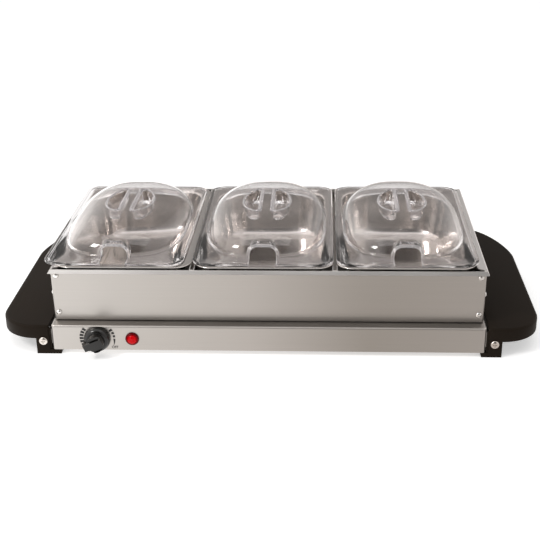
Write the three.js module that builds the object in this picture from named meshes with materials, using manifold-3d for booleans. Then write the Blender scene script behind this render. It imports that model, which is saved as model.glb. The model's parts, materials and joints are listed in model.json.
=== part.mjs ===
import * as THREE from "three";
import { mergeVertices } from "three/addons/utils/BufferGeometryUtils.js";
import Module from "manifold-3d";

const wasm = await Module();
wasm.setup();

// Buffet server in millimetres: +X right, +Y back, +Z up, the counter at z = 0

// Sheet, clearances and cutting overrun
const sheet = 0.8;
const seatGap = 0.3;
const overrun = 2;

// Facet counts
const cornerSteps = 4;
const wingSteps = 7;
const bendSteps = 3;
const panBendSteps = 3;
const roundSteps = 24;
const smallSteps = 12;
const rivetSteps = 7;
const holeSteps = 7;

// Widths and depths that follow from the pans
const panWidth = 155.5;
const panApart = 2.9;
const panPitch = panWidth + panApart;
const panRowRoom = 9.7;
const frameWidth = 2 * panPitch + panWidth + panRowRoom;
const baseLedgeX = 2;
const baseWidth = frameWidth + 2 * baseLedgeX;
const panDepth = 264.6;
const panRoomY = 5.4;
const frameDepth = panDepth + panRoomY;
const baseLedgeY = 14;
const baseDepth = frameDepth + 2 * baseLedgeY;
const lidOverWidth = 2.5;
const lidWidth = panWidth + lidOverWidth;
const lidShortDepth = 4.6;
const lidDepth = panDepth - lidShortDepth;

// Base: a folded box with a turned-in bottom lip
const baseHeight = 30;
const footClear = 5.5;
const baseFold = 2;
const baseCorner = 1.5;
const baseLip = 20;

// Bottom cover and its screws
const coverSheet = 0.8;
const coverLap = 8;
const coverCorner = 4;
const coverScrewInset = 5;
const coverScrewShank = 3;
const coverScrewHead = 6;
const coverScrewHeadHeight = 1.5;
const coverScrewLength = 6;

// Wing handles: plan, walls, leg and foot
const wingStandOff = 3;
const wingReach = 59;
const wingCorner = 44;
const wingInnerCorner = 1.5;
const wingDrop = 0.5;
const wingThick = 16;
const wingWall = 2.6;
const wingEdge = 3;
const legWidth = 15;
const legDepth = 18;
const footLipLong = 13.7;
const footLipShort = 8.7;
const footSlant = 1.2;
const webGap = 0.6;
const webSetback = 1.2;

// Wing screws and the ears of the base that they hold
const wingScrewHead = 9.6;
const wingScrewHeadHeight = 2.6;
const wingScrewShank = 4;
const wingScrewLength = 11;
const wingScrewIn = 6.7;
const wingScrewZ = 16.2;
const earReach = 13;
const earHeight = 18;

// Heating element and its clamps
const rodRound = 6.4;
const rodSides = 6;
const rodRuns = 36;
const loopInsetX = 55;
const loopInsetY = 53;
const loopHalfX = baseWidth / 2 - loopInsetX;
const loopHalfY = baseDepth / 2 - loopInsetY;
const loopBend = 30;
const loopEndGap = 34;
const clampWidth = 16;
const clampBeyond = 22;
const clampReach = loopHalfY + clampBeyond;
const clampX = 84;
const clampFoot = 9;

// Thermal cut-out
const cutoutRound = 16;
const cutoutHeight = 7;
const cutoutCap = 11;
const cutoutCapHeight = 4;

// Thermostat, spindle and knob
const knobInset = 52.1;
const knobX = knobInset - baseWidth / 2;
const knobZ = 20.1;
const thermostatWidth = 26;
const thermostatDeep = 22;
const thermostatHeight = 20;
const spindleRound = 6;
const spindleIn = 8;
const spindleOut = 12;
const knobGap = 0.8;
const skirtRound = 30;
const skirtEdge = 2;
const skirtTopRound = 24.4;
const skirtReach = 8;
const gripReach = 18.5;
const gripRound = 21;
const gripTaper = 1.4;
const pointerWidth = 9.4;
const pointerReach = 14.2;
const fluteWidth = 3;
const fluteDepth = 5.5;
const fluteApart = 6.6;
const knobAngle = 203;

// Pilot lamp
const lampBeside = 39.4;
const lampX = knobX + lampBeside;
const lampZ = 19.7;
const lensRound = 15.4;
const lensRim = 2.2;
const lensDome = 2.4;
const lensDomeRound = 11.6;
const lampBodyRound = 12;
const lampBodyLong = 24;
const lampClip = 14.6;
const lampClipLong = 3;

// Cord gland in the back wall
const glandInset = 53;
const glandX = glandInset - baseWidth / 2;
const glandZ = 20.5;
const glandNeck = 11.4;
const glandFlange = 17;
const glandFlangeThick = 2.4;
const glandCollar = 12;
const glandReach = 10;
const glandBore = 7;
const glandNut = 17;
const glandNutThick = 3.2;
const glandInside = 8;

// Frame: four panels with a flared lip, standing on the base
const frameLift = 1;
const frameHeight = 61.4;
const frameBend = 2.5;
const lapLength = 14;
const lipOut = 2.8;
const lipDrop = 4.4;
const lipRoll = 0.5;
const mitreGap = 0.4;
const ledgeReach = 9.4;
const ledgeThick = 1.6;
const ledgeCorner = 6;
const ledgeEndGap = 5;
const standWidth = 24;
const standShare = 0.55;

// Frame rivets
const rivetShank = 3.2;
const rivetHead = 6.4;
const rivetHeadHeight = 1.8;
const rivetTail = 5;
const rivetTailHeight = 1.2;
const rivetEdge = 6;
const rivetTopDrop = 7.2;
const rivetBottomRise = 9.3;
const endRivetEdge = 7.6;
const endRivetShare = 0.5;

// Crossbars between the pans: an open channel with a pair of top flanges
const crossbarTrough = 4;
const crossbarTop = 15;
const crossbarDeep = 12;
const crossbarSetback = 20;
const crossbarTab = 0.5;
const crossbarTabWidth = 2.2;
const crossbarTabHeight = 2;
const crossbarTabDrop = 1.9;

// Pans
const panCorner = 20;
const panRimHeight = 1.6;
const panRimFold = 3;
const panRimRound = 0.5;
const panFlange = 10.75;
const panWellCorner = 26;
const panFloorRoom = 7.9;
const panWellDepth = frameLift + frameHeight + seatGap + panRimHeight - panFloorRoom;
const panDraft = 5;
const panRoot = 3;
const panFloorBend = 12;
const panRowShare = 0.95;

// Lids: flange, dome, grip pockets and spoon notch
const lidCorner = 18;
const lidFlange = 2;
const lidBead = 5;
const lidBeadRise = 0.9;
const lidEdge = 0.6;
const lidWall = 2.2;
const domeInsetX = 9;
const domeInsetY = 23;
const domeWidth = lidWidth - 2 * domeInsetX;
const domeDepth = lidDepth - 2 * domeInsetY;
const domeHeight = 31.2;
const domePlanPower = 3;
const domeSidePower = 1.9;
const domeEndPower = 3.9;
const domeSteps = 7;
const domeLevelShares = [0, 0.22, 0.44, 0.66, 0.9];
const gripWidth = 54.6;
const gripLength = 84;
const gripRib = 16;
const gripDepth = 15;
const gripDraft = 1.5;
const gripWall = 2;
const gripSteps = 4;
const gripRimRise = 0.9;
const notchWidth = 30;
const notchHeight = 15;
const notchCorner = 9;
const notchWall = 3;
const notchFront = 16.7;
const notchDeep = 40;

// Where the loose lids lie
const lidShiftLeft = 8.25;
const lidShiftMiddle = 1.2;
const lidShiftRight = 1.45;
const lidLeftTurn = 1;

// Levels worked out from the sizes above
const baseTop = footClear + baseHeight;
const baseFront = -baseDepth / 2;
const frameBottom = baseTop + frameLift;
const lipTop = frameBottom + frameHeight;
const rimTop = lipTop + seatGap + panRimHeight;
const lidBottom = rimTop + seatGap;
const lidFlangeTop = lidBottom + lidFlange;
const domeTop = lidFlangeTop + domeHeight;
const wingTop = baseTop - wingDrop;
const wingUnder = wingTop - wingThick;
const wingInner = baseWidth / 2 + wingStandOff;
const wingOuter = wingInner + wingReach;
const panRowPlay = frameWidth / 2 - sheet - panPitch - panWidth / 2;
const panRowShift = -panRowShare * panRowPlay;

const halfTurn = Math.PI;
const quarterTurn = Math.PI / 2;
const radian = Math.PI / 180;

const steel = new THREE.MeshStandardMaterial({ color: 0xb9b3ac, roughness: 0.34, metalness: 1 });
const panSteel = new THREE.MeshStandardMaterial({ color: 0xc8c3bd, roughness: 0.24, metalness: 1 });
const rivetSteel = new THREE.MeshStandardMaterial({ color: 0xd8d4cf, roughness: 0.22, metalness: 1 });
const zincSteel = new THREE.MeshStandardMaterial({ color: 0x9fa19f, roughness: 0.5, metalness: 1 });
const elementSteel = new THREE.MeshStandardMaterial({ color: 0x5c5a55, roughness: 0.55, metalness: 1 });
const wingPlastic = new THREE.MeshStandardMaterial({ color: 0x1b1815, roughness: 0.46, metalness: 0 });
const knobPlastic = new THREE.MeshStandardMaterial({ color: 0x141312, roughness: 0.38, metalness: 0 });
const blackPlastic = new THREE.MeshStandardMaterial({ color: 0x111111, roughness: 0.6, metalness: 0 });
const phenolic = new THREE.MeshStandardMaterial({ color: 0x4a3626, roughness: 0.6, metalness: 0 });
const lampPlastic = new THREE.MeshStandardMaterial({ color: 0xd9d5cb, roughness: 0.5, metalness: 0 });
const redLens = new THREE.MeshStandardMaterial({ color: 0xc00008, roughness: 0.15, metalness: 0 });
const clearPlastic = new THREE.MeshStandardMaterial({
  color: 0xf1eef4,
  roughness: 0.06,
  metalness: 0,
  transparent: true,
  opacity: 0.32,
});

// Closed geometry to a solid, whichever way its faces were wound
function solid(geometry) {
  geometry.deleteAttribute("normal");
  geometry.deleteAttribute("uv");
  const merged = mergeVertices(geometry);
  const index = merged.index.array;
  const kept = [];
  for (let i = 0; i < index.length; i += 3) {
    const [a, b, c] = index.slice(i, i + 3);
    const isFlat = a === b || b === c || c === a;
    if (!isFlat) kept.push(a, b, c);
  }
  const vertProperties = merged.attributes.position.array;
  const make = (triangles) =>
    new wasm.Manifold(new wasm.Mesh({ numProp: 3, vertProperties, triVerts: new Uint32Array(triangles) }));
  const made = make(kept);
  return made.volume() < 0 ? make(kept.reverse()) : made;
}

// Solid back to a geometry for a mesh
function geometryOf(made) {
  const mesh = made.getMesh();
  const geometry = new THREE.BufferGeometry();
  geometry.setAttribute("position", new THREE.BufferAttribute(mesh.vertProperties, mesh.numProp));
  geometry.setIndex(new THREE.BufferAttribute(mesh.triVerts, 1));
  geometry.computeVertexNormals();
  return geometry;
}

function shapeOf(points) {
  return new THREE.Shape(points.map(([x, y]) => new THREE.Vector2(x, y)));
}

// Outline in X and Y, from one level to another
function plate(points, zLow, zHigh) {
  const geometry = new THREE.ExtrudeGeometry(shapeOf(points), { depth: zHigh - zLow, bevelEnabled: false });
  return solid(geometry.translate(0, 0, zLow));
}

// Outline in Y and Z, along X
function alongX(points, xLow, xHigh) {
  const geometry = new THREE.ExtrudeGeometry(shapeOf(points), { depth: xHigh - xLow, bevelEnabled: false });
  geometry.rotateX(quarterTurn).rotateZ(quarterTurn);
  return solid(geometry.translate(xLow, 0, 0));
}

// Outline in X and Z, along Y
function alongY(points, yLow, yHigh) {
  const geometry = new THREE.ExtrudeGeometry(shapeOf(points), { depth: yHigh - yLow, bevelEnabled: false });
  geometry.rotateX(quarterTurn);
  return solid(geometry.translate(0, yHigh, 0));
}

function block(xLow, xHigh, yLow, yHigh, zLow, zHigh) {
  const geometry = new THREE.BoxGeometry(xHigh - xLow, yHigh - yLow, zHigh - zLow);
  return solid(geometry.translate((xLow + xHigh) / 2, (yLow + yHigh) / 2, (zLow + zHigh) / 2));
}

// Profile of radius and height, turned about Z
function turned(profile, steps) {
  const points = profile.map(([radius, height]) => new THREE.Vector2(radius, height));
  return solid(new THREE.LatheGeometry(points, steps).rotateX(quarterTurn));
}

function rod(round, zLow, zHigh, steps) {
  const radius = round / 2;
  return turned([[0, zLow], [radius, zLow], [radius, zHigh], [0, zHigh]], steps);
}

// A round hole's cutter: its flats, not its corners, lie at the hole's radius
function cutter(round, length, steps) {
  const radius = round / 2 / Math.cos(Math.PI / steps);
  return new THREE.CylinderGeometry(radius, radius, length, steps);
}

function holeAlongX(round, y, z, xLow, xHigh, steps = holeSteps) {
  const geometry = cutter(round, xHigh - xLow, steps).rotateZ(quarterTurn);
  return solid(geometry.translate((xLow + xHigh) / 2, y, z));
}

function holeAlongY(round, x, z, yLow, yHigh, steps = holeSteps) {
  return solid(cutter(round, yHigh - yLow, steps).translate(x, (yLow + yHigh) / 2, z));
}

function holeAlongZ(round, x, y, zLow, zHigh, steps = holeSteps) {
  const geometry = cutter(round, zHigh - zLow, steps).rotateX(quarterTurn);
  return solid(geometry.translate(x, y, (zLow + zHigh) / 2));
}

// Rounded rectangle about the middle, anticlockwise
function roundedRect(width, depth, radius, steps = cornerSteps) {
  const points = [];
  for (let corner = 0; corner < 4; corner += 1) {
    const across = corner === 0 || corner === 3 ? 1 : -1;
    const along = corner < 2 ? 1 : -1;
    for (let i = 0; i <= steps; i += 1) {
      const angle = (corner + i / steps) * quarterTurn;
      const x = across * (width / 2 - radius) + radius * Math.cos(angle);
      const y = along * (depth / 2 - radius) + radius * Math.sin(angle);
      points.push([x, y]);
    }
  }
  return points;
}

// Superellipse about the middle, anticlockwise
function bowedOval(width, depth, power, steps) {
  const points = [];
  for (let i = 0; i < 4 * steps; i += 1) {
    const angle = (i / steps) * quarterTurn;
    const x = Math.sign(Math.cos(angle)) * Math.abs(Math.cos(angle)) ** (2 / power);
    const y = Math.sign(Math.sin(angle)) * Math.abs(Math.sin(angle)) ** (2 / power);
    points.push([(x * width) / 2, (y * depth) / 2]);
  }
  return points;
}

// Skin through rings with equal counts, closed by a flat cap at each end
function ringLoft(rings) {
  const count = rings[0].points.length;
  const positions = [];
  const index = [];
  for (const { points, z } of rings) {
    for (const [x, y] of points) positions.push(x, y, z);
  }
  for (let level = 0; level + 1 < rings.length; level += 1) {
    for (let i = 0; i < count; i += 1) {
      const next = (i + 1) % count;
      const a = level * count + i;
      const b = level * count + next;
      index.push(a, b, b + count, a, b + count, a + count);
    }
  }
  const last = (rings.length - 1) * count;
  const capOf = (ring) => THREE.ShapeUtils.triangulateShape(shapeOf(ring.points).getPoints(), []);
  for (const [a, b, c] of capOf(rings[0])) index.push(c, b, a);
  for (const [a, b, c] of capOf(rings[rings.length - 1])) index.push(last + a, last + b, last + c);
  const geometry = new THREE.BufferGeometry();
  geometry.setAttribute("position", new THREE.Float32BufferAttribute(positions, 3));
  geometry.setIndex(index);
  return solid(geometry);
}

// Points of an arc as offsets and heights
function arc(centreOut, centreZ, radius, from, to, steps) {
  const points = [];
  for (let i = 0; i <= steps; i += 1) {
    const angle = (from + ((to - from) * i) / steps) * radian;
    points.push([centreOut + radius * Math.cos(angle), centreZ + radius * Math.sin(angle)]);
  }
  return points;
}

const group = new THREE.Group();
const frameGroup = new THREE.Group();
group.add(frameGroup);

function place(parent, name, made, material) {
  const mesh = new THREE.Mesh(geometryOf(made), material.clone());
  mesh.name = name;
  parent.add(mesh);
  return mesh;
}

// A turned piece whose axis points to the front or, turned round, to the back
function placeFacing(parent, name, made, material, x, y, z, turn = 0) {
  const mesh = place(parent, name, made, material);
  mesh.position.set(x, y, z);
  mesh.rotation.set(quarterTurn, 0, 0);
  mesh.rotateOnWorldAxis(new THREE.Vector3(0, 0, 1), turn);
  return mesh;
}

// Base shell
const baseOutline = (inset) =>
  roundedRect(baseWidth - 2 * inset, baseDepth - 2 * inset, baseCorner + baseFold, bendSteps);

function baseSkin(inset, zLow, zHigh, fold) {
  const bend = arc(-fold, zHigh - fold, fold, 0, 90, bendSteps);
  const rings = [{ points: baseOutline(inset), z: zLow }];
  for (const [out, z] of bend) rings.push({ points: baseOutline(inset - out), z });
  return ringLoft(rings);
}

const earFront = baseFront + wingWall + seatGap;
const earBack = earFront + sheet;
const earOuter = baseWidth / 2 + earReach;
const earTop = wingTop - wingEdge - seatGap - overrun;
const earLow = earTop - earHeight;
const wingScrewX = wingInner + wingScrewIn;

function ear(side, end) {
  const x = [side * (baseWidth / 2 - sheet), side * earOuter].sort((a, b) => a - b);
  const y = [end * earFront, end * earBack].sort((a, b) => a - b);
  return block(x[0], x[1], y[0], y[1], earLow, earTop);
}

const spindleHole = spindleRound + 2 * seatGap;
const lampHole = lampBodyRound + 2 * seatGap;
const glandHole = glandNeck + 2 * seatGap;
const wingScrewHole = wingScrewShank + 2 * seatGap;
const coverScrewHole = coverScrewShank + 2 * seatGap;
const coverHalfX = baseWidth / 2 - baseLip + coverLap;
const coverHalfY = baseDepth / 2 - baseLip + coverLap;
const coverScrewX = coverHalfX - coverScrewInset;
const coverScrewY = coverHalfY - coverScrewInset;
const fourCorners = [[-1, -1], [1, -1], [-1, 1], [1, 1]];

let baseShell = baseSkin(0, footClear, baseTop, baseFold);
baseShell = baseShell.subtract(baseSkin(sheet, footClear + sheet, baseTop - sheet, baseFold - sheet));
baseShell = baseShell.subtract(
  plate(baseOutline(baseLip), footClear - overrun, footClear + sheet + overrun),
);
for (const [side, end] of fourCorners) {
  baseShell = baseShell.add(ear(side, end));
}
for (const [side, end] of fourCorners) {
  const earMiddle = (end * (earFront + earBack)) / 2;
  baseShell = baseShell.subtract(
    holeAlongY(wingScrewHole, side * wingScrewX, wingScrewZ, earMiddle - overrun, earMiddle + overrun),
  );
  const holeX = side * coverScrewX;
  const holeY = end * coverScrewY;
  baseShell = baseShell.subtract(
    holeAlongZ(coverScrewHole, holeX, holeY, footClear - overrun, footClear + overrun),
  );
}
const wallHoles = [
  [spindleHole, knobX, knobZ, baseFront],
  [lampHole, lampX, lampZ, baseFront],
  [glandHole, glandX, glandZ, -baseFront],
];
for (const [round, x, z, wallY] of wallHoles) {
  baseShell = baseShell.subtract(holeAlongY(round, x, z, wallY - overrun, wallY + overrun, smallSteps));
}
place(group, "base_shell", baseShell, steel);

// Bottom cover, screwed to the turned-in lip
const coverTop = footClear - seatGap;
const coverLow = coverTop - coverSheet;
let bottomCover = plate(roundedRect(2 * coverHalfX, 2 * coverHalfY, coverCorner), coverLow, coverTop);
for (const [side, end] of fourCorners) {
  const holeX = side * coverScrewX;
  const holeY = end * coverScrewY;
  bottomCover = bottomCover.subtract(
    holeAlongZ(coverScrewHole, holeX, holeY, coverLow - overrun, coverTop + overrun),
  );
}
place(group, "bottom_cover", bottomCover, zincSteel);

// A pan-head screw along Z: its head lies on the outer side of zero, its shank on the other
function panHeadScrew(head, headHeight, shank, length, outer, steps) {
  const crown = headHeight / 3;
  const profile = [
    [0, headHeight],
    [head / 2 - crown, headHeight],
    [head / 2, headHeight - crown],
    [head / 2, 0],
    [shank / 2, 0],
    [shank / 2, crown - length],
    [shank / 2 - crown / 2, -length],
    [0, -length],
  ];
  return turned(profile.map(([radius, height]) => [radius, outer * height]), steps);
}

const cornerNames = ["front_left", "front_right", "back_left", "back_right"];
const coverScrew = panHeadScrew(
  coverScrewHead,
  coverScrewHeadHeight,
  coverScrewShank,
  coverScrewLength,
  -1,
  rivetSteps,
);
fourCorners.forEach(([side, end], i) => {
  const screw = place(group, "cover_screw_" + cornerNames[i], coverScrew, zincSteel);
  screw.position.set(side * coverScrewX, end * coverScrewY, coverLow - seatGap);
});

// Wing handle for the right end; the left one is the same moulding turned round
function wingOutline(inset, innerInset) {
  const left = wingInner + innerInset;
  const right = wingOuter - inset;
  const half = baseDepth / 2 - inset;
  const radius = wingCorner - inset;
  const inner = wingInnerCorner;
  const points = [];
  const corner = (x, y, r, from) => {
    const steps = r > inner ? wingSteps : 1;
    for (let i = 0; i <= steps; i += 1) {
      const angle = (from + i / steps) * quarterTurn;
      points.push([x + r * Math.cos(angle), y + r * Math.sin(angle)]);
    }
  };
  corner(right - radius, half - radius, radius, 0);
  corner(left + inner, half - inner, inner, 1);
  corner(left + inner, inner - half, inner, 2);
  corner(right - radius, radius - half, radius, 3);
  return points;
}

function wingBody() {
  const bend = arc(-wingEdge, wingTop - wingEdge, wingEdge, 0, 90, bendSteps);
  const outer = [{ points: wingOutline(0, 0), z: wingUnder }];
  for (const [out, z] of bend) outer.push({ points: wingOutline(-out, 0), z });
  const hollowTop = wingTop - wingWall;
  const cavity = [
    { points: wingOutline(wingWall, wingWall), z: wingUnder - overrun },
    { points: wingOutline(wingWall, wingWall), z: hollowTop - wingWall },
    { points: wingOutline(wingEdge + wingWall / 2, wingWall), z: hollowTop },
  ];
  let body = ringLoft(outer).subtract(ringLoft(cavity));
  for (const end of [-1, 1]) {
    const lip = end < 0 ? footLipShort : footLipLong;
    const legFront = baseDepth / 2;
    const legBack = legFront - legDepth;
    const legOuter = wingInner + legWidth;
    const footTop = footClear - seatGap;
    const foot = [
      [wingInner - lip, footTop],
      [wingInner - lip + footSlant, 0],
      [legOuter, 0],
      [legOuter, footTop],
    ];
    const yLow = end < 0 ? -legFront : legBack;
    const yHigh = end < 0 ? -legBack : legFront;
    const wallLow = end < 0 ? -legFront : legFront - wingWall;
    const legTop = wingUnder + wingWall;
    body = body.add(alongY(foot, yLow, yHigh));
    body = body.add(block(wingInner, legOuter, wallLow, wallLow + wingWall, footTop - overrun, legTop));
    body = body.add(block(legOuter - wingWall, legOuter, yLow, yHigh, footTop - overrun, legTop));
    const webFaces = [end * (legFront - webSetback), end * (legFront - wingWall)];
    body = body.add(
      block(
        baseWidth / 2 + webGap,
        wingInner + wingWall,
        Math.min(...webFaces),
        Math.max(...webFaces),
        footTop,
        wingTop - wingEdge,
      ),
    );
    const notchFar = end * (legFront - wingWall);
    const notchNear = end * legBack;
    const notchLow = Math.min(notchFar, notchNear);
    const notchHigh = Math.max(notchFar, notchNear);
    body = body.subtract(
      block(
        wingInner - overrun,
        wingInner + wingWall + wingInnerCorner + seatGap,
        notchLow,
        notchHigh,
        footTop,
        earTop + seatGap,
      ),
    );
    body = body.subtract(
      holeAlongY(
        wingScrewHole,
        wingScrewX,
        wingScrewZ,
        end * legFront - overrun - wingWall,
        end * legFront + overrun + wingWall,
      ),
    );
  }
  return body;
}

const wing = wingBody();
place(group, "wing_right", wing, wingPlastic);
place(group, "wing_left", wing, wingPlastic).rotation.z = halfTurn;

const wingScrew = panHeadScrew(
  wingScrewHead,
  wingScrewHeadHeight,
  wingScrewShank,
  wingScrewLength,
  1,
  smallSteps,
);
fourCorners.forEach(([side, end], i) => {
  placeFacing(
    group,
    "wing_screw_" + cornerNames[i],
    wingScrew,
    rivetSteel,
    side * wingScrewX,
    end * (baseDepth / 2 + seatGap),
    wingScrewZ,
    end < 0 ? 0 : halfTurn,
  );
});

// Heating element: one sheathed rod in an open loop under the top plate
const plateUnder = baseTop - sheet;
const rodZ = plateUnder - seatGap - rodRound / 2;

function elementPath() {
  const corners = [
    [-loopHalfX, loopEndGap - loopHalfY],
    [-loopHalfX, loopHalfY],
    [loopHalfX, loopHalfY],
    [loopHalfX, -loopHalfY],
    [loopEndGap - loopHalfX, -loopHalfY],
  ].map(([x, y]) => new THREE.Vector3(x, y, rodZ));
  const path = new THREE.CurvePath();
  let from = corners[0];
  for (let i = 1; i < corners.length; i += 1) {
    const corner = corners[i];
    const isLast = i === corners.length - 1;
    const back = from.clone().sub(corner).normalize().multiplyScalar(loopBend);
    const entry = isLast ? corner : corner.clone().add(back);
    path.add(new THREE.LineCurve3(from, entry));
    if (isLast) break;
    const ahead = corners[i + 1].clone().sub(corner).normalize().multiplyScalar(loopBend);
    const exit = corner.clone().add(ahead);
    path.add(new THREE.QuadraticBezierCurve3(entry, corner, exit));
    from = exit;
  }
  return path;
}

const rodSection = [];
for (let i = 0; i < rodSides; i += 1) {
  const angle = ((i + 0.5) / rodSides) * 2 * halfTurn;
  rodSection.push([(Math.cos(angle) * rodRound) / 2, (Math.sin(angle) * rodRound) / 2]);
}
const elementGeometry = new THREE.ExtrudeGeometry(shapeOf(rodSection), {
  steps: rodRuns,
  extrudePath: elementPath(),
});
place(group, "heating_element", solid(elementGeometry), elementSteel);

// Element clamps: bridges under the rod with feet on the top plate
const clampTop = rodZ - rodRound / 2 - seatGap;
const clampLow = clampTop - sheet;
const footUnder = plateUnder - seatGap - sheet;
const clampProfile = [
  [-clampReach - clampFoot, footUnder],
  [-clampReach, footUnder],
  [-clampReach, clampLow],
  [clampReach, clampLow],
  [clampReach, footUnder],
  [clampReach + clampFoot, footUnder],
  [clampReach + clampFoot, footUnder + sheet],
  [clampReach - sheet, footUnder + sheet],
  [clampReach - sheet, clampTop],
  [sheet - clampReach, clampTop],
  [sheet - clampReach, footUnder + sheet],
  [-clampReach - clampFoot, footUnder + sheet],
];
for (const side of [-1, 1]) {
  const middle = side * clampX;
  const clamp = alongX(clampProfile, middle - clampWidth / 2, middle + clampWidth / 2);
  place(group, side < 0 ? "element_clamp_left" : "element_clamp_right", clamp, zincSteel);
}

// Thermal cut-out under the middle of the top plate
const cutout = turned(
  [
    [0, plateUnder - seatGap - cutoutHeight - cutoutCapHeight],
    [cutoutCap / 2, plateUnder - seatGap - cutoutHeight - cutoutCapHeight],
    [cutoutCap / 2, plateUnder - seatGap - cutoutHeight],
    [cutoutRound / 2, plateUnder - seatGap - cutoutHeight],
    [cutoutRound / 2, plateUnder - seatGap],
    [0, plateUnder - seatGap],
  ],
  smallSteps,
);
place(group, "thermal_cutout", cutout, phenolic);

// Thermostat behind the front wall, with a bore for its spindle
const wallInside = baseFront + sheet + seatGap;
const thermostat = block(
  knobX - thermostatWidth / 2,
  knobX + thermostatWidth / 2,
  wallInside,
  wallInside + thermostatDeep,
  knobZ - thermostatHeight / 2,
  knobZ + thermostatHeight / 2,
).subtract(holeAlongY(spindleHole, knobX, knobZ, wallInside - overrun, wallInside + spindleIn, smallSteps));
place(group, "thermostat_body", thermostat, phenolic);

// Knob and spindle, with their axis along local Z and the front wall at zero
const spindle = rod(
  spindleRound,
  -(sheet + seatGap + spindleIn - seatGap),
  knobGap + spindleOut - seatGap,
  smallSteps,
);
placeFacing(group, "thermostat_spindle", spindle, zincSteel, knobX, baseFront, knobZ);

function gripOutline(inset) {
  const radius = gripRound / 2 - inset;
  const halfPointer = pointerWidth / 2 - inset;
  const reach = pointerReach - inset;
  const start = Math.asin(halfPointer / radius);
  const points = [[reach, -halfPointer], [reach, halfPointer]];
  const steps = 2 * smallSteps - 4;
  for (let i = 0; i <= steps; i += 1) {
    const angle = start + ((2 * halfTurn - 2 * start) * i) / steps;
    points.push([radius * Math.cos(angle), radius * Math.sin(angle)]);
  }
  return points;
}

const skirt = turned(
  [
    [0, knobGap],
    [skirtRound / 2, knobGap],
    [skirtRound / 2, knobGap + skirtEdge],
    [(skirtRound + skirtTopRound) / 4, (skirtEdge + knobGap + skirtReach) / 2 + skirtEdge / 2],
    [skirtTopRound / 2, skirtReach],
    [0, skirtReach + skirtEdge / 2],
  ],
  roundSteps,
);
let knob = skirt.add(
  ringLoft([
    { points: gripOutline(0), z: skirtReach / 2 },
    { points: gripOutline(gripTaper / 2), z: gripReach - gripTaper },
    { points: gripOutline(gripTaper), z: gripReach },
  ]),
);
for (const side of [-1, 1]) {
  const v = side * fluteApart;
  const flute = [
    [v - fluteWidth / 2, gripReach + overrun],
    [v - fluteWidth / 4, gripReach - fluteDepth],
    [v + fluteWidth / 4, gripReach - fluteDepth],
    [v + fluteWidth / 2, gripReach + overrun],
  ];
  knob = knob.subtract(alongX(flute, -skirtRound, skirtRound));
}
knob = knob.subtract(holeAlongZ(spindleHole, 0, 0, knobGap - overrun, knobGap + spindleOut, smallSteps));
placeFacing(group, "knob", knob, knobPlastic, knobX, baseFront, knobZ).rotateZ(knobAngle * radian);

// Pilot lamp: red lens outside, housing with a snap collar inside
const lampBore = lampBodyRound - 2 * lensRim;
const lens = turned(
  [
    [0, seatGap],
    [lensRound / 2, seatGap],
    [lensRound / 2, seatGap + lensRim / 2],
    [lensDomeRound / 2, seatGap + lensRim],
    [(lensDomeRound * 3) / 8, seatGap + lensRim + lensDome * Math.sin(quarterTurn / 2)],
    [lensDomeRound / 5, seatGap + lensRim + lensDome],
    [0, seatGap + lensRim + lensDome],
  ],
  roundSteps,
);
placeFacing(group, "lamp_lens", lens, redLens, lampX, baseFront, lampZ);
const lampHousing = turned(
  [
    [0, lensRim - lampBodyLong],
    [lampBodyRound / 2, lensRim - lampBodyLong],
    [lampBodyRound / 2, -sheet - seatGap - lampClipLong],
    [lampClip / 2, -sheet - seatGap],
    [lampBodyRound / 2, -sheet - seatGap],
    [lampBodyRound / 2, 0],
    [lampBore / 2, 0],
    [lampBore / 2, lensRim - lampBodyLong + lampClipLong],
    [0, lensRim - lampBodyLong + lampClipLong],
  ],
  smallSteps,
);
placeFacing(group, "lamp_housing", lampHousing, lampPlastic, lampX, baseFront, lampZ);

// Cord gland through the back wall, with its bore open at both ends
const glandCurve = glandReach - glandFlangeThick;
const gland = turned(
  [
    [glandBore / 2, -glandInside],
    [glandNeck / 2, -glandInside],
    [glandNut / 2, -sheet - seatGap - glandNutThick],
    [glandNut / 2, -sheet - seatGap],
    [glandNeck / 2, -sheet - seatGap],
    [glandNeck / 2, seatGap],
    [glandFlange / 2, seatGap],
    [glandFlange / 2, seatGap + glandFlangeThick],
    [glandCollar / 2, seatGap + glandFlangeThick],
    [(glandCollar + glandBore) / 4 + seatGap, seatGap + glandFlangeThick + glandCurve],
    [glandBore / 2, seatGap + glandFlangeThick + glandCurve],
    [glandBore / 2, -glandInside],
  ],
  roundSteps / 2,
);
placeFacing(group, "cord_gland", gland, blackPlastic, glandX, -baseFront, glandZ, halfTurn);

// Frame sections: distance outwards from the wall face, and height
const returnTop = lipTop - lipDrop - seatGap;
const endWallOut = -sheet - seatGap;
const frontLip = [
  [-sheet, returnTop - overrun],
  [0, returnTop - overrun],
  [0, lipTop - sheet - lipRoll],
  [lipOut - sheet, lipTop - lipDrop],
  [lipOut, lipTop - lipDrop + lipRoll],
  [lipRoll, lipTop],
  [-sheet + lipRoll, lipTop],
  [-sheet, lipTop - lipRoll],
];
const endLip = [
  [endWallOut - sheet, lipTop - ledgeThick],
  [endWallOut, lipTop - ledgeThick],
  [0, lipTop - sheet - lipRoll],
  [lipOut - sheet, lipTop - lipDrop],
  [lipOut, lipTop - lipDrop + lipRoll],
  [lipRoll, lipTop],
  [endWallOut - sheet, lipTop],
];

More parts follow.
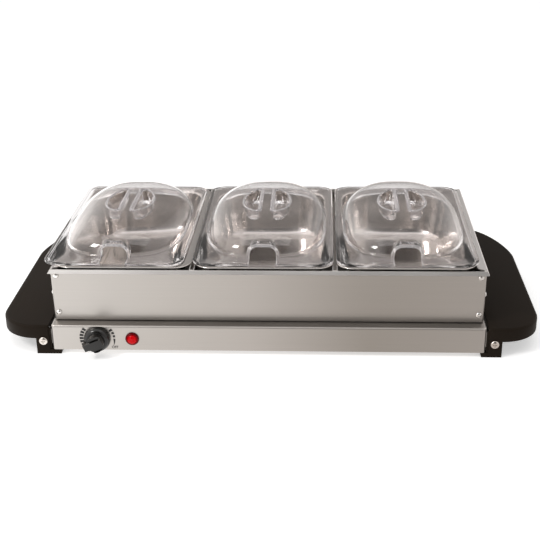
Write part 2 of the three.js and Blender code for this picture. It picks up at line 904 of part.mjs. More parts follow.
// A section swept along one side, with ends mitred to the corner's diagonal
function mitredLip(section, halfLength) {
  const rings = [-1, 1].map((end) =>
    section.map(([out, z]) => [end * (halfLength + out - mitreGap / 2), -out, z]),
  );
  const count = section.length;
  const positions = rings.flat(2);
  const index = [];
  for (let i = 0; i < count; i += 1) {
    const next = (i + 1) % count;
    index.push(i, next, next + count, i, next + count, i + count);
  }
  for (const [a, b, c] of THREE.ShapeUtils.triangulateShape(shapeOf(section).getPoints(), [])) {
    index.push(c, b, a, a + count, b + count, c + count);
  }
  const geometry = new THREE.BufferGeometry();
  geometry.setAttribute("position", new THREE.Float32BufferAttribute(positions, 3));
  geometry.setIndex(index);
  return solid(geometry);
}

// A wall bent back at both ends, as a plan outline with its outer face at zero
function bentWall(halfLength, length, radius) {
  const inner = radius - sheet;
  const right = [
    ...arc(halfLength - radius, radius, radius, -90, 0, bendSteps),
    [halfLength, length],
    [halfLength - sheet, length],
    ...arc(halfLength - radius, radius, inner, 0, -90, bendSteps),
  ];
  const left = right.map(([x, y]) => [-x, y]).reverse();
  return [...right, ...left];
}

const rivetHole = rivetShank + 2 * seatGap;
const rivetX = frameWidth / 2 - rivetEdge;
const rivetHeights = [lipTop - rivetTopDrop, frameBottom + rivetBottomRise];
const endRivetY = frameDepth / 2 - endRivetEdge;
const endRivetZ = frameBottom + frameHeight * endRivetShare;
const crossbarX = panPitch / 2;
const tabTop = lipTop - crossbarTabDrop;
const tabLow = tabTop - crossbarTabHeight;

// Front panel in its own frame: outer face at y = 0, the inside towards +Y
function frontPanel(slotShift) {
  let panel = plate(bentWall(frameWidth / 2, lapLength, frameBend), frameBottom, returnTop);
  panel = panel.add(mitredLip(frontLip, frameWidth / 2));
  for (const side of [-1, 1]) {
    for (const z of rivetHeights) {
      panel = panel.subtract(holeAlongY(rivetHole, side * rivetX, z, -overrun, overrun));
    }
    panel = panel.subtract(
      holeAlongX(
        rivetHole,
        endRivetEdge,
        endRivetZ,
        (side * frameWidth) / 2 - overrun,
        (side * frameWidth) / 2 + overrun,
      ),
    );
    const slotMiddle = slotShift + side * crossbarX;
    panel = panel.subtract(
      block(
        slotMiddle - crossbarTabWidth / 2 - seatGap,
        slotMiddle + crossbarTabWidth / 2 + seatGap,
        -crossbarTab - seatGap,
        overrun,
        tabLow - seatGap,
        tabTop + seatGap,
      ),
    );
  }
  return panel;
}

place(frameGroup, "frame_front", frontPanel(panRowShift), steel).position.y = -frameDepth / 2;
const backPanel = place(frameGroup, "frame_back", frontPanel(-panRowShift), steel);
backPanel.position.y = frameDepth / 2;
backPanel.rotation.z = halfTurn;

// End panel in its own frame: the nominal outer face at y = 0, the inside towards +Y
function endPanel() {
  const halfInside = frameDepth / 2 - sheet - seatGap;
  const wall = bentWall(halfInside, lapLength - endWallOut, frameBend);
  const outline = wall.map(([x, y]) => [x, y - endWallOut]);
  let panel = plate(outline, frameBottom, lipTop - lipRoll);
  panel = panel.add(mitredLip(endLip, frameDepth / 2));
  const ledgeHalf = frameDepth / 2 - sheet - ledgeEndGap;
  const ledge = [
    [-ledgeHalf, -endWallOut],
    [ledgeHalf, -endWallOut],
    ...arc(ledgeHalf - ledgeCorner, ledgeReach - ledgeCorner, ledgeCorner, 0, 90, bendSteps),
    ...arc(ledgeCorner - ledgeHalf, ledgeReach - ledgeCorner, ledgeCorner, 90, 180, bendSteps),
  ];
  panel = panel.add(plate(ledge, lipTop - ledgeThick, lipTop));
  for (const side of [-1, 1]) {
    const standMiddle = (side * frameDepth * standShare) / 2;
    panel = panel.add(
      block(
        standMiddle - standWidth / 2,
        standMiddle + standWidth / 2,
        -endWallOut,
        sheet - endWallOut,
        baseTop + seatGap,
        frameBottom + sheet,
      ),
    );
    panel = panel.subtract(
      holeAlongY(rivetHole, side * endRivetY, endRivetZ, -overrun, sheet + seatGap + overrun),
    );
    for (const z of rivetHeights) {
      const flangeX = side * (halfInside - sheet / 2);
      panel = panel.subtract(
        holeAlongX(rivetHole, rivetEdge, z, flangeX - overrun, flangeX + overrun),
      );
    }
  }
  return panel;
}

const end = endPanel();
const leftPanel = place(frameGroup, "frame_left", end, steel);
leftPanel.position.x = -frameWidth / 2;
leftPanel.rotation.z = -quarterTurn;
const rightPanel = place(frameGroup, "frame_right", end, steel);
rightPanel.position.x = frameWidth / 2;
rightPanel.rotation.z = quarterTurn;

// Rivet with its head outside the lapped sheets, outer face at zero
const lapDeep = 2 * sheet + seatGap;
const rivet = turned(
  [
    [0, -lapDeep - seatGap - rivetTailHeight],
    [rivetTail / 2, -lapDeep - seatGap - rivetTailHeight],
    [rivetTail / 2, -lapDeep - seatGap],
    [rivetShank / 2, -lapDeep - seatGap],
    [rivetShank / 2, seatGap],
    [rivetHead / 2, seatGap],
    [(rivetHead * 3) / 8, seatGap + rivetHeadHeight * Math.sin(quarterTurn / 2)],
    [0, seatGap + rivetHeadHeight],
  ],
  rivetSteps,
);
fourCorners.forEach(([side, endSide], i) => {
  const turn = endSide < 0 ? 0 : halfTurn;
  const y = (endSide * frameDepth) / 2;
  placeFacing(
    frameGroup,
    "rivet_top_" + cornerNames[i],
    rivet,
    rivetSteel,
    side * rivetX,
    y,
    rivetHeights[0],
    turn,
  );
  placeFacing(
    frameGroup,
    "rivet_low_" + cornerNames[i],
    rivet,
    rivetSteel,
    side * rivetX,
    y,
    rivetHeights[1],
    turn,
  );
  placeFacing(
    frameGroup,
    "rivet_end_" + cornerNames[i],
    rivet,
    rivetSteel,
    (side * frameWidth) / 2,
    endSide * endRivetY,
    endRivetZ,
    side * quarterTurn,
  );
});

// Crossbars: channels closed at the ends, with a tab at each end in the slots behind the lip
function crossbar() {
  const channelHalf = crossbarTrough / 2 + sheet;
  const barHalf = frameDepth / 2 - sheet - seatGap;
  const topHalf = barHalf - crossbarSetback;
  const channel = block(-channelHalf, channelHalf, -barHalf, barHalf, lipTop - crossbarDeep, lipTop);
  const flanges = block(-crossbarTop / 2, crossbarTop / 2, -topHalf, topHalf, lipTop - sheet, lipTop);
  const tabHalf = frameDepth / 2 + crossbarTab;
  const tab = block(-crossbarTabWidth / 2, crossbarTabWidth / 2, -tabHalf, tabHalf, tabLow, tabTop);
  const trough = block(
    -crossbarTrough / 2,
    crossbarTrough / 2,
    sheet - barHalf,
    barHalf - sheet,
    lipTop - crossbarDeep + sheet,
    lipTop + overrun,
  );
  return channel.add(flanges).add(tab).subtract(trough);
}

const bar = crossbar();
place(frameGroup, "crossbar_left", bar, steel).position.x = panRowShift - crossbarX;
place(frameGroup, "crossbar_right", bar, steel).position.x = panRowShift + crossbarX;

// Pan: a profile of distance outwards from the opening, and height
function panShell() {
  const innerFloor = rimTop - panWellDepth;
  const floorOut = -panDraft - panFloorBend;
  const bendUp = innerFloor + panFloorBend;
  const skin = (thick) => [
    ...arc(floorOut, bendUp, panFloorBend + thick, -90, 0, panBendSteps),
    ...arc(panRoot, rimTop - panRoot, panRoot - thick, 180, 90, panBendSteps - 1),
  ];
  const rim = [
    [panFlange - panRimFold, rimTop - sheet],
    [panFlange - panRimFold, rimTop - panRimHeight],
    [panFlange - panRimRound, rimTop - panRimHeight],
    [panFlange, rimTop - panRimHeight + panRimRound],
    [panFlange, rimTop - panRimRound],
    [panFlange - panRimRound, rimTop],
  ];
  const profile = [...skin(sheet), ...rim, ...skin(0).reverse()];
  const openWidth = panWidth - 2 * panFlange;
  const openDepth = panDepth - 2 * panFlange;
  const cornerAt = (out) =>
    out < 0 ? panWellCorner + out : panWellCorner + ((panCorner - panWellCorner) * out) / panFlange;
  return ringLoft(
    profile.map(([out, z]) => ({
      points: roundedRect(openWidth + 2 * out, openDepth + 2 * out, cornerAt(out)),
      z,
    })),
  );
}

const pan = panShell();
const panNames = ["left", "middle", "right"];
const panCentres = [-1, 0, 1].map((bay) => bay * panPitch + panRowShift);
panNames.forEach((name, i) => {
  place(frameGroup, "pan_" + name, pan, panSteel).position.x = panCentres[i];
});

// Lid dome: superellipse rings that close towards the top
function domeSolid(shrink, zStart) {
  const width = domeWidth - 2 * shrink;
  const depth = domeDepth - 2 * shrink;
  const height = domeHeight - shrink;
  const rings = [{ points: bowedOval(width, depth, domePlanPower, domeSteps), z: zStart }];
  for (const share of domeLevelShares) {
    const angle = share * quarterTurn;
    const sizeX = Math.cos(angle) ** (2 / domeSidePower);
    const sizeY = Math.cos(angle) ** (2 / domeEndPower);
    const rise = Math.sin(angle) ** (2 / domeSidePower);
    const points = bowedOval(width * sizeX, depth * sizeY, domePlanPower, domeSteps);
    rings.push({ points, z: lidFlangeTop + height * rise });
  }
  return ringLoft(rings);
}

// One D-shaped half of the grip's oval, beside the rib
function gripHalf(side, grow) {
  const a = gripWidth / 2 + grow;
  const b = gripLength / 2 + grow;
  const inner = gripRib / 2 - grow;
  const ease = gripWall;
  const widest = Math.acos((inner + ease) / a);
  const points = [];
  for (let i = 0; i <= gripSteps; i += 1) {
    const angle = widest * ((2 * i) / gripSteps - 1);
    points.push([a * Math.cos(angle), b * Math.sin(angle)]);
  }
  const top = b * Math.sin(widest) - ease;
  points.push([inner, top], [inner, -top]);
  return side < 0 ? points.map(([x, y]) => [-x, y]).reverse() : points;
}

// The spoon notch's arch with rounded shoulders
function notchArch(grow, low) {
  const half = notchWidth / 2 + grow;
  const top = lidFlangeTop + notchHeight + grow;
  const corner = notchCorner + grow;
  return [
    [-half, low],
    [half, low],
    ...arc(half - corner, top - corner, corner, 0, 90, bendSteps + 1),
    ...arc(corner - half, top - corner, corner, 90, 180, bendSteps + 1),
  ];
}

function lidShell() {
  const outline = (inset) => roundedRect(lidWidth - 2 * inset, lidDepth - 2 * inset, lidCorner - inset);
  const flange = ringLoft([
    { points: outline(lidEdge), z: lidBottom },
    { points: outline(0), z: lidBottom + lidEdge },
    { points: outline(0), z: lidFlangeTop + lidBeadRise - lidEdge },
    { points: outline(lidEdge), z: lidFlangeTop + lidBeadRise },
  ]).subtract(
    ringLoft([
      { points: outline(lidBead), z: lidFlangeTop },
      { points: outline(lidBead - lidBeadRise), z: lidFlangeTop + lidBeadRise + seatGap },
    ]),
  );
  const notchY = notchFront - lidDepth / 2;
  const hood = alongY(notchArch(notchWall, lidBottom), notchY, notchY + notchDeep);
  const notch = alongY(notchArch(0, lidBottom - overrun), -lidDepth / 2 - overrun, notchY + notchDeep);
  const dome = domeSolid(0, lidBottom);
  const raised = domeSolid(-gripRimRise, lidBottom);
  let lid = flange.add(dome).add(hood).subtract(domeSolid(lidWall, lidBottom - overrun)).subtract(notch);
  const pocketFloor = domeTop - gripDepth;
  for (const side of [-1, 1]) {
    const cup = plate(gripHalf(side, gripWall), pocketFloor - gripWall, domeTop + overrun);
    const pocket = ringLoft([
      { points: gripHalf(side, -gripDraft), z: pocketFloor },
      { points: gripHalf(side, 0), z: domeTop + overrun },
    ]);
    lid = lid.add(cup.intersect(raised)).subtract(pocket);
  }
  return lid;
}

const lidCentres = [
  panCentres[0] - lidShiftLeft,
  panCentres[1] - lidShiftMiddle,
  panCentres[2] + lidShiftRight,
];
const lid = lidShell();
panNames.forEach((name, i) => {
  place(frameGroup, "lid_" + name, lid, clearPlastic).position.x = lidCentres[i];
});
frameGroup.getObjectByName("lid_left").rotation.z = -lidLeftTurn * radian;

// The origin lies on the counter under the middle of the whole server
group.position.y = (gripReach - glandReach - seatGap) / 2;

export default group;
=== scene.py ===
import json
import math

import bmesh
import bpy
from mathutils import Matrix, Vector


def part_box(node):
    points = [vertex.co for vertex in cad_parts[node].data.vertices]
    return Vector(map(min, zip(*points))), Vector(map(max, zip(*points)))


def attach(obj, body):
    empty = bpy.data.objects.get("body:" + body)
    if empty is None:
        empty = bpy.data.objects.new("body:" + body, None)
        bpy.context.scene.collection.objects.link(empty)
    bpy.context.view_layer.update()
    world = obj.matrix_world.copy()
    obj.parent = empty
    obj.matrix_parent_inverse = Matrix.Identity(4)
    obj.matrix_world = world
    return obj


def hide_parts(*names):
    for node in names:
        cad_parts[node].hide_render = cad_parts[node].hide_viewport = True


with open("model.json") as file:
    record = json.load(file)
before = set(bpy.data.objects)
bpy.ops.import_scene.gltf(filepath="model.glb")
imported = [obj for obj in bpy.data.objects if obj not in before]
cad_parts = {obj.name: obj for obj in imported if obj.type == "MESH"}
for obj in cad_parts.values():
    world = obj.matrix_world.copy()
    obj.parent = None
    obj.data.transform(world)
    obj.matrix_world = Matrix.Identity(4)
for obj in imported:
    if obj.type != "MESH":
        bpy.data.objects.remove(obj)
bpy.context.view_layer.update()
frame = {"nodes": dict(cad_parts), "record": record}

MM = 0.001
TAU = 2 * math.pi
HALF = math.pi / 2
WELD, LID_WELD = 1e-7, 2e-6  # metres


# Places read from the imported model, in millimetres
def low(node):
    return [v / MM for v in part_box(node)[0]]


def high(node):
    return [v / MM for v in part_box(node)[1]]


def middle(node):
    return [(a + b) / 2 for a, b in zip(low(node), high(node))]


CENTRE_Y = middle("base_shell")[1]
BASE_FRONT = low("base_shell")[1]
BASE_BACK = high("base_shell")[1]
BODY_OF = {node: body
           for body, nodes in frame["record"]["behaviour"]["bodies"].items() for node in nodes}
SIDES = ("left", "middle", "right")
CORNERS = ("front_left", "front_right", "back_left", "back_right")


# Outlines, anticlockwise, in millimetres about the middle
def rounded_rect(width, depth, radius, steps, sides):
    """Steps points round each corner and sides parts along each straight."""
    signs = ((1, 1), (-1, 1), (-1, -1), (1, -1))

    def at(corner, a):
        sx, sy = signs[corner % 4]
        return (sx * (width / 2 - radius) + radius * math.cos(a),
                sy * (depth / 2 - radius) + radius * math.sin(a))

    points = []
    for corner in range(4):
        points += [at(corner, (corner + i / steps) * HALF) for i in range(steps + 1)]
        a, b = points[-1], at(corner + 1, (corner + 1) * HALF)
        points += [(a[0] + (b[0] - a[0]) * (i / sides), a[1] + (b[1] - a[1]) * (i / sides))
                   for i in range(1, sides)]
    return points


def rect_reach(c, s, hw, hd, r):
    """Way along the direction (c, s) from the middle to the edge of a rounded rectangle."""
    c, s = abs(c), abs(s)
    if c > 1e-9 and hw * s / c <= hd - r:
        return hw / c
    if s > 1e-9 and hd * c / s <= hw - r:
        return hd / s
    b = c * (hw - r) + s * (hd - r)
    q = (hw - r) ** 2 + (hd - r) ** 2 - r * r
    return b + math.sqrt(max(b * b - q, 0))


def oval_reach(c, s, hw, hd, p):
    """The same way to a superellipse of power p."""
    return (abs(c / hw) ** p + abs(s / hd) ** p) ** (-1 / p)


def directions(width, depth, radius, steps, sides):
    return [Vector(p).normalized() for p in rounded_rect(width, depth, radius, steps, sides)]


def rect_ring(rays, hw, hd, r):
    return [(c * rect_reach(c, s, hw, hd, r), s * rect_reach(c, s, hw, hd, r)) for c, s in rays]


def oval_ring(rays, hw, hd, p):
    return [(c * oval_reach(c, s, hw, hd, p), s * oval_reach(c, s, hw, hd, p)) for c, s in rays]


def arc(cx, cy, radius, start, end, steps):
    return [(cx + radius * math.cos(math.radians(start + (end - start) * i / steps)),
             cy + radius * math.sin(math.radians(start + (end - start) * i / steps)))
            for i in range(steps + 1)]


def bow(middle_u, middle_v, wide, high_by, start, end, step):
    """Part of an ellipse's outline, from start in degrees up to, but without, end."""
    turns = [math.radians(a) for a in range(start, end, step)]
    return [(middle_u + wide * math.cos(a), middle_v + high_by * math.sin(a)) for a in turns]


# Meshes
def mesh_of(name, verts, faces):
    mesh = bpy.data.meshes.new(name)
    mesh.from_pydata([Vector(v) * MM for v in verts], [], faces)
    bm = bmesh.new()
    bm.from_mesh(mesh)
    bmesh.ops.remove_doubles(bm, verts=bm.verts, dist=WELD)
    bmesh.ops.recalc_face_normals(bm, faces=bm.faces)
    bm.to_mesh(mesh)
    bm.free()
    return mesh


def new_object(name, mesh, smooth=32):
    obj = bpy.data.objects.new(name, mesh)
    bpy.context.scene.collection.objects.link(obj)
    if smooth:
        soften(mesh, smooth)
    return obj


def soften(mesh, angle):
    mesh.shade_smooth()
    mesh.set_sharp_from_angle(angle=math.radians(angle))


def loft(rings, closed=True):
    """Verts and faces of a skin through rings of equal counts, capped at both ends."""
    count = len(rings[0][0])
    verts = [(x, y, z) for points, z in rings for x, y in points]
    faces = []
    for level in range(len(rings) - 1):
        for i in range(count):
            j = (i + 1) % count
            a, b = level * count + i, level * count + j
            faces.append((a, b, b + count, a + count))
    if closed:
        last = (len(rings) - 1) * count
        faces.append(tuple(reversed(range(count))))
        faces.append(tuple(last + i for i in range(count)))
    return verts, faces


def turned(profile, steps=48):
    """Verts and faces of a profile of radius and height turned about Z."""
    rings, verts, faces = [], [], []
    for radius, height in profile:
        if radius < 1e-6:
            rings.append([len(verts)])
            verts.append((0, 0, height))
        else:
            rings.append(list(range(len(verts), len(verts) + steps)))
            verts += [(radius * math.cos(TAU * i / steps), radius * math.sin(TAU * i / steps), height)
                      for i in range(steps)]
    pairs = list(zip(rings, rings[1:]))
    if len(rings[0]) > 1 and len(rings[-1]) > 1:
        pairs.append((rings[-1], rings[0]))
    for a, b in pairs:
        for i in range(steps):
            j = (i + 1) % steps
            if len(a) == 1 and len(b) > 1:
                faces.append((a[0], b[j], b[i]))
            elif len(b) == 1 and len(a) > 1:
                faces.append((a[i], a[j], b[0]))
            elif len(a) > 1:
                faces.append((a[i], a[j], b[j], b[i]))
    return verts, faces


def extruded(points, start, end, axis="Z"):
    """Verts and faces of an outline pushed along an axis."""
    put = {"Z": lambda u, v, w: (u, v, w),
           "Y": lambda u, v, w: (u, w, v),
           "X": lambda u, v, w: (w, u, v)}[axis]
    count = len(points)
    verts = [put(u, v, w) for w in (start, end) for u, v in points]
    faces = [tuple(range(count)), tuple(range(2 * count - 1, count - 1, -1))]
    faces += [(i, i + count, (i + 1) % count + count, (i + 1) % count) for i in range(count)]
    return verts, faces


def brick(x0, x1, y0, y1, z0, z1):
    return extruded([(x0, y0), (x1, y0), (x1, y1), (x0, y1)], z0, z1)


def solid(name, shape):
    return new_object(name, mesh_of(name, *shape), 0)


def combine(base, other, operation):
    """Boolean of two closed objects; the second goes away."""
    mod = base.modifiers.new("cut", "BOOLEAN")
    mod.operation = operation
    mod.object = other
    mod.solver = "MANIFOLD"
    dg = bpy.context.evaluated_depsgraph_get()
    made = bpy.data.meshes.new_from_object(base.evaluated_get(dg))
    base.modifiers.clear()
    old = base.data
    base.data = made
    bpy.data.meshes.remove(old)
    rest = other.data
    bpy.data.objects.remove(other)
    if rest.users == 0:
        bpy.data.meshes.remove(rest)
    return base


def union(base, other):
    return combine(base, other, "UNION")


def minus(base, other):
    return combine(base, other, "DIFFERENCE")


def common(base, other):
    return combine(base, other, "INTERSECT")


# Materials
def tree(name):
    """A new material with its node tree, its Principled shader and its output."""
    mat = bpy.data.materials.new(name)
    mat.use_nodes = True
    nt = mat.node_tree
    nt.nodes.clear()
    out = nt.nodes.new("ShaderNodeOutputMaterial")
    shader = nt.nodes.new("ShaderNodeBsdfPrincipled")
    nt.links.new(shader.outputs[0], out.inputs[0])
    return mat, nt, shader, out


def coords(nt, scale=(1, 1, 1)):
    tc = nt.nodes.new("ShaderNodeTexCoord")
    mp = nt.nodes.new("ShaderNodeMapping")
    mp.inputs["Scale"].default_value = scale
    nt.links.new(tc.outputs["Object"], mp.inputs[0])
    return mp.outputs[0]


def noise(nt, vector, scale, detail=3.0, rough=0.55):
    n = nt.nodes.new("ShaderNodeTexNoise")
    n.inputs["Scale"].default_value = scale
    n.inputs["Detail"].default_value = detail
    n.inputs["Roughness"].default_value = rough
    nt.links.new(vector, n.inputs["Vector"])
    return n.outputs["Fac"]


def axes(nt, vector):
    n = nt.nodes.new("ShaderNodeSeparateXYZ")
    nt.links.new(vector, n.inputs[0])
    return n.outputs


def remap(nt, value, a, b, c, d):
    """The value's range from a to b becomes the range from c to d."""
    n = nt.nodes.new("ShaderNodeMapRange")
    for key, v in zip(("From Min", "From Max", "To Min", "To Max"), (a, b, c, d)):
        n.inputs[key].default_value = v
    nt.links.new(value, n.inputs["Value"])
    return n.outputs[0]


def ramp(nt, value, stops):
    n = nt.nodes.new("ShaderNodeValToRGB")
    e = n.color_ramp.elements
    while len(e) < len(stops):
        e.new(0.5)
    for slot, (position, colour) in zip(e, stops):
        slot.position = position
        slot.color = (*colour, 1)
    nt.links.new(value, n.inputs[0])
    return n.outputs[0]


def math_node(nt, kind, a, b):
    n = nt.nodes.new("ShaderNodeMath")
    n.operation = kind
    for socket, v in zip(n.inputs, (a, b)):
        if isinstance(v, (int, float)):
            socket.default_value = v
        else:
            nt.links.new(v, socket)
    return n.outputs[0]


def bump(nt, height, strength, distance, shader):
    n = nt.nodes.new("ShaderNodeBump")
    n.inputs["Strength"].default_value = strength
    n.inputs["Distance"].default_value = distance
    nt.links.new(height, n.inputs["Height"])
    nt.links.new(n.outputs[0], shader.inputs["Normal"])


COLOUR_A, COLOUR_B, COLOUR_OUT = 6, 7, 2  # sockets of the Mix node for colours
# Near white: the painted highlight of the frame's lip
LIP_HIGHLIGHT = (0.95, 0.93, 0.91, 1)
FADE = 0.6 * MM


def brushed(name, colour, grain, rough, depth, spread, vary=0.09, highlight_from=None):
    """Brushed steel: grain is the scale along each axis, small along the strokes.

    Above the height in the last argument, in metres, its colour turns near white: a painted highlight
    for the light that this band catches."""
    mat, nt, sh, _ = tree(name)
    fine = noise(nt, coords(nt, grain), 1.0, 4, 0.7)
    broad = noise(nt, coords(nt, tuple(g * 0.13 for g in grain)), 1.0, 2)
    cloud = noise(nt, coords(nt), 9.0, 3)
    mixed = math_node(nt, "ADD", math_node(nt, "MULTIPLY", fine, 0.6),
                      math_node(nt, "MULTIPLY", broad, 0.4))
    dark = tuple(c * (1 - vary) for c in colour)
    light = tuple(min(1, c * (1 + vary)) for c in colour)
    tint = ramp(nt, mixed, [(0.32, dark), (0.5, colour), (0.68, light)])
    # Painted highlight: above that height the colour is mixed to near white.
    if highlight_from is not None:
        highlight_mask = remap(nt, axes(nt, coords(nt))[2], highlight_from, highlight_from + FADE, 0, 1)
        highlight_mix = nt.nodes.new("ShaderNodeMix")
        highlight_mix.data_type = "RGBA"
        nt.links.new(highlight_mask, highlight_mix.inputs[0])
        nt.links.new(tint, highlight_mix.inputs[COLOUR_A])
        highlight_mix.inputs[COLOUR_B].default_value = LIP_HIGHLIGHT
        tint = highlight_mix.outputs[COLOUR_OUT]
    nt.links.new(tint, sh.inputs["Base Color"])
    r = math_node(nt, "ADD", remap(nt, mixed, 0.3, 0.7, rough - spread, rough + spread),
                  remap(nt, cloud, 0.3, 0.7, -0.02, 0.03))
    nt.links.new(r, sh.inputs["Roughness"])
    sh.inputs["Metallic"].default_value = 1
    bump(nt, mixed, depth, 0.2 * MM, sh)
    return mat


def moulded(name, colour, rough, grain=1800, strength=0.08, sheen=0.5):
    """Moulded plastic with a fine pitted grain and a cloudy wear of 0.05 in roughness."""
    mat, nt, sh, _ = tree(name)
    sh.inputs["Specular IOR Level"].default_value = sheen
    pits = noise(nt, coords(nt), grain, 2, 0.5)
    cloud = noise(nt, coords(nt), 14, 4)
    low_c = tuple(c * 0.85 for c in colour)
    high_c = tuple(c * 1.15 + 0.002 for c in colour)
    nt.links.new(ramp(nt, cloud, [(0.3, low_c), (0.7, high_c)]), sh.inputs["Base Color"])
    nt.links.new(math_node(nt, "ADD", remap(nt, pits, 0.3, 0.7, rough - 0.03, rough + 0.03),
                           remap(nt, cloud, 0.35, 0.7, -0.05, 0.05)), sh.inputs["Roughness"])
    bump(nt, pits, strength, 0.1 * MM, sh)
    return mat


STEEL = (0.47, 0.445, 0.42)
STROKES = (6, 900, 900)
LIP_DROP = 4.4
base_steel = brushed("base_steel_look", STEEL, STROKES, 0.34, 0.02, 0.03, 0.03)
# The frame's colour above the lip's lower edge is a painted highlight, near white.
frame_steel_lip_highlight = brushed("frame_steel_lip_highlight_look", STEEL, STROKES, 0.34, 0.02, 0.03, 0.03,
                      (high("frame_front")[2] - LIP_DROP) * MM)
pan_steel = brushed("pan_steel_look", (0.63, 0.6, 0.575), (260, 260, 260), 0.13, 0.015, 0.02, 0.03)
rivet_steel = brushed("rivet_steel_look", (0.78, 0.76, 0.74), (300, 300, 300), 0.2, 0.03, 0.04)
screw_steel = brushed("screw_steel_look", (0.68, 0.63, 0.58), (300, 300, 300), 0.22, 0.03, 0.05)
zinc_steel = brushed("zinc_steel_look", (0.45, 0.46, 0.46), (120, 120, 120), 0.42, 0.05, 0.08)
element_steel = brushed("element_steel_look", (0.13, 0.12, 0.11), (90, 90, 90), 0.5, 0.1, 0.1)
wing_plastic = moulded("wing_plastic_look", (0.014, 0.0098, 0.0066), 0.5, sheen=0.05)
knob_plastic = moulded("knob_plastic_look", (0.004, 0.0035, 0.0028), 0.2, 900, 0.02)
gland_plastic = moulded("gland_plastic_look", (0.012, 0.012, 0.012), 0.5)
phenolic = moulded("phenolic_look", (0.07, 0.042, 0.026), 0.55, 700, 0.1)
lamp_plastic = moulded("lamp_plastic_look", (0.62, 0.6, 0.54), 0.5)
print_ink = moulded("print_ink_look", (0.008, 0.007, 0.007), 0.55, 1500, 0.05)


def clear_plastic(name, clear):
    """Plastic with clear as its share of transmission. Its shadow is light, as the lamps see it."""
    mat, nt, sh, out = tree(name)
    sh.inputs["Transmission Weight"].default_value = clear
    sh.inputs["IOR"].default_value = 1.5
    streak = noise(nt, coords(nt), 30, 3)
    nt.links.new(ramp(nt, streak, [(0.3, (0.915, 0.9, 0.905)), (0.7, (0.945, 0.93, 0.93))]),
                 sh.inputs["Base Color"])
    nt.links.new(remap(nt, streak, 0.3, 0.7, 0.015, 0.05), sh.inputs["Roughness"])
    bump(nt, noise(nt, coords(nt), 22, 1), 0.15, 0.8 * MM, sh)
    through = nt.nodes.new("ShaderNodeBsdfTransparent")
    through.inputs[0].default_value = (0.9, 0.88, 0.9, 1)
    path = nt.nodes.new("ShaderNodeLightPath")
    mix = nt.nodes.new("ShaderNodeMixShader")
    nt.links.new(path.outputs["Is Shadow Ray"], mix.inputs[0])
    nt.links.new(sh.outputs[0], mix.inputs[1])
    nt.links.new(through.outputs[0], mix.inputs[2])
    nt.links.new(mix.outputs[0], out.inputs[0])
    return mat


def lamp_red():
    """Red moulding whose colour darkens from the lens's middle out to its rim: painted shade for the
    thick edge of the transparent red cap.
    """
    mat, nt, sh, _ = tree("lamp_red_look")
    place = axes(nt, coords(nt))
    squares = [math_node(nt, "MULTIPLY", place[i], place[i]) for i in (0, 1)]
    away = math_node(nt, "POWER", math_node(nt, "ADD", *squares), 0.5)
    grain = noise(nt, coords(nt), 500, 2)
    # Painted shade: the colour darkens with distance from the middle, out to the rim.
    ring = math_node(nt, "ADD", remap(nt, away, 4.8 * MM, 6.6 * MM, 0, 0.9),
                     math_node(nt, "MULTIPLY", grain, 0.1))
    nt.links.new(ramp(nt, ring, [(0.05, (0.55, 0.0, 0.003)), (0.9, (0.1, 0.0, 0.002))]),
                 sh.inputs["Base Color"])
    nt.links.new(remap(nt, grain, 0.3, 0.7, 0.16, 0.24), sh.inputs["Roughness"])
    sh.inputs["Specular IOR Level"].default_value = 0.12
    return mat


lid_clear = clear_plastic("lid_clear_look", 1.0)
# Less clear plastic for the rims of the pockets and the notch: its milky white is a painted highlight
# for the bright lines that light makes in those rims.
lid_edge_highlight = clear_plastic("lid_edge_highlight_look", 0.8)
lamp_lens_red = lamp_red()


def dress(name, obj, node, mat, location, turn=(0, 0, 0)):
    """Make an object the piece that stands for a CAD node, on its body and with its material."""
    obj.name = name
    obj.location = Vector(location) * MM
    obj.rotation_euler = turn
    obj.data.materials.clear()
    obj.data.materials.append(mat)
    bpy.context.view_layer.update()
    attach(obj, BODY_OF[node])
    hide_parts(node)


def copy_of(obj):
    twin = bpy.data.objects.new(obj.name + "_twin", obj.data)
    bpy.context.scene.collection.objects.link(twin)
    return twin


# Lids: flange with a bead, dome, two finger pockets beside a rib, hooded spoon notch.
# Plan and side powers shape the dome; the notch's place is from the lid's front edge.
LID_Z = low("lid_middle")[2]
FLANGE = 2.0
FLANGE_TOP = LID_Z + FLANGE
LID_W, LID_D = (high("lid_middle")[i] - low("lid_middle")[i] for i in (0, 1))
LID_CORNER = 18
LID_SPIN = math.radians(1)
EDGE = 0.8
BEAD_IN = 5
BEAD_RISE = 0.9
DOME_W, DOME_D, DOME_H = 140, 214, 31.2
DOME_PLAN, DOME_SIDE, DOME_END = 3.0, 1.9, 3.9
DOME_LEVELS = 34
WALL = 2.2
FILLET = 2.2
GRIP_W, GRIP_L, GRIP_RIB, GRIP_DEPTH = 54.6, 84, 16, 15
CUP_ROUND, POCKET_ROUND = 2.5, 2
BAR_PROUD = 0.45
DOME_TOP = FLANGE_TOP + DOME_H
NOTCH_W, NOTCH_H, NOTCH_CORNER, NOTCH_WALL, NOTCH_REACH = 30, 15, 9, 3, 40
NOTCH_Y = 16.7 - LID_D / 2


def dome_profile(height, first, steps=DOME_LEVELS):
    """Shares of width, depth and rise up the dome's side, from a first height up to the crown,
    where the levels lie closer."""
    start, crown, crowding = math.asin((first / height) ** (DOME_SIDE / 2)), math.radians(89.6), 1.5
    shares = []
    for i in range(steps + 1):
        a = start + (crown - start) * (1 - (1 - i / steps) ** crowding)
        shares.append((math.cos(a) ** (2 / DOME_SIDE), math.cos(a) ** (2 / DOME_END),
                       math.sin(a) ** (2 / DOME_SIDE)))
    return shares


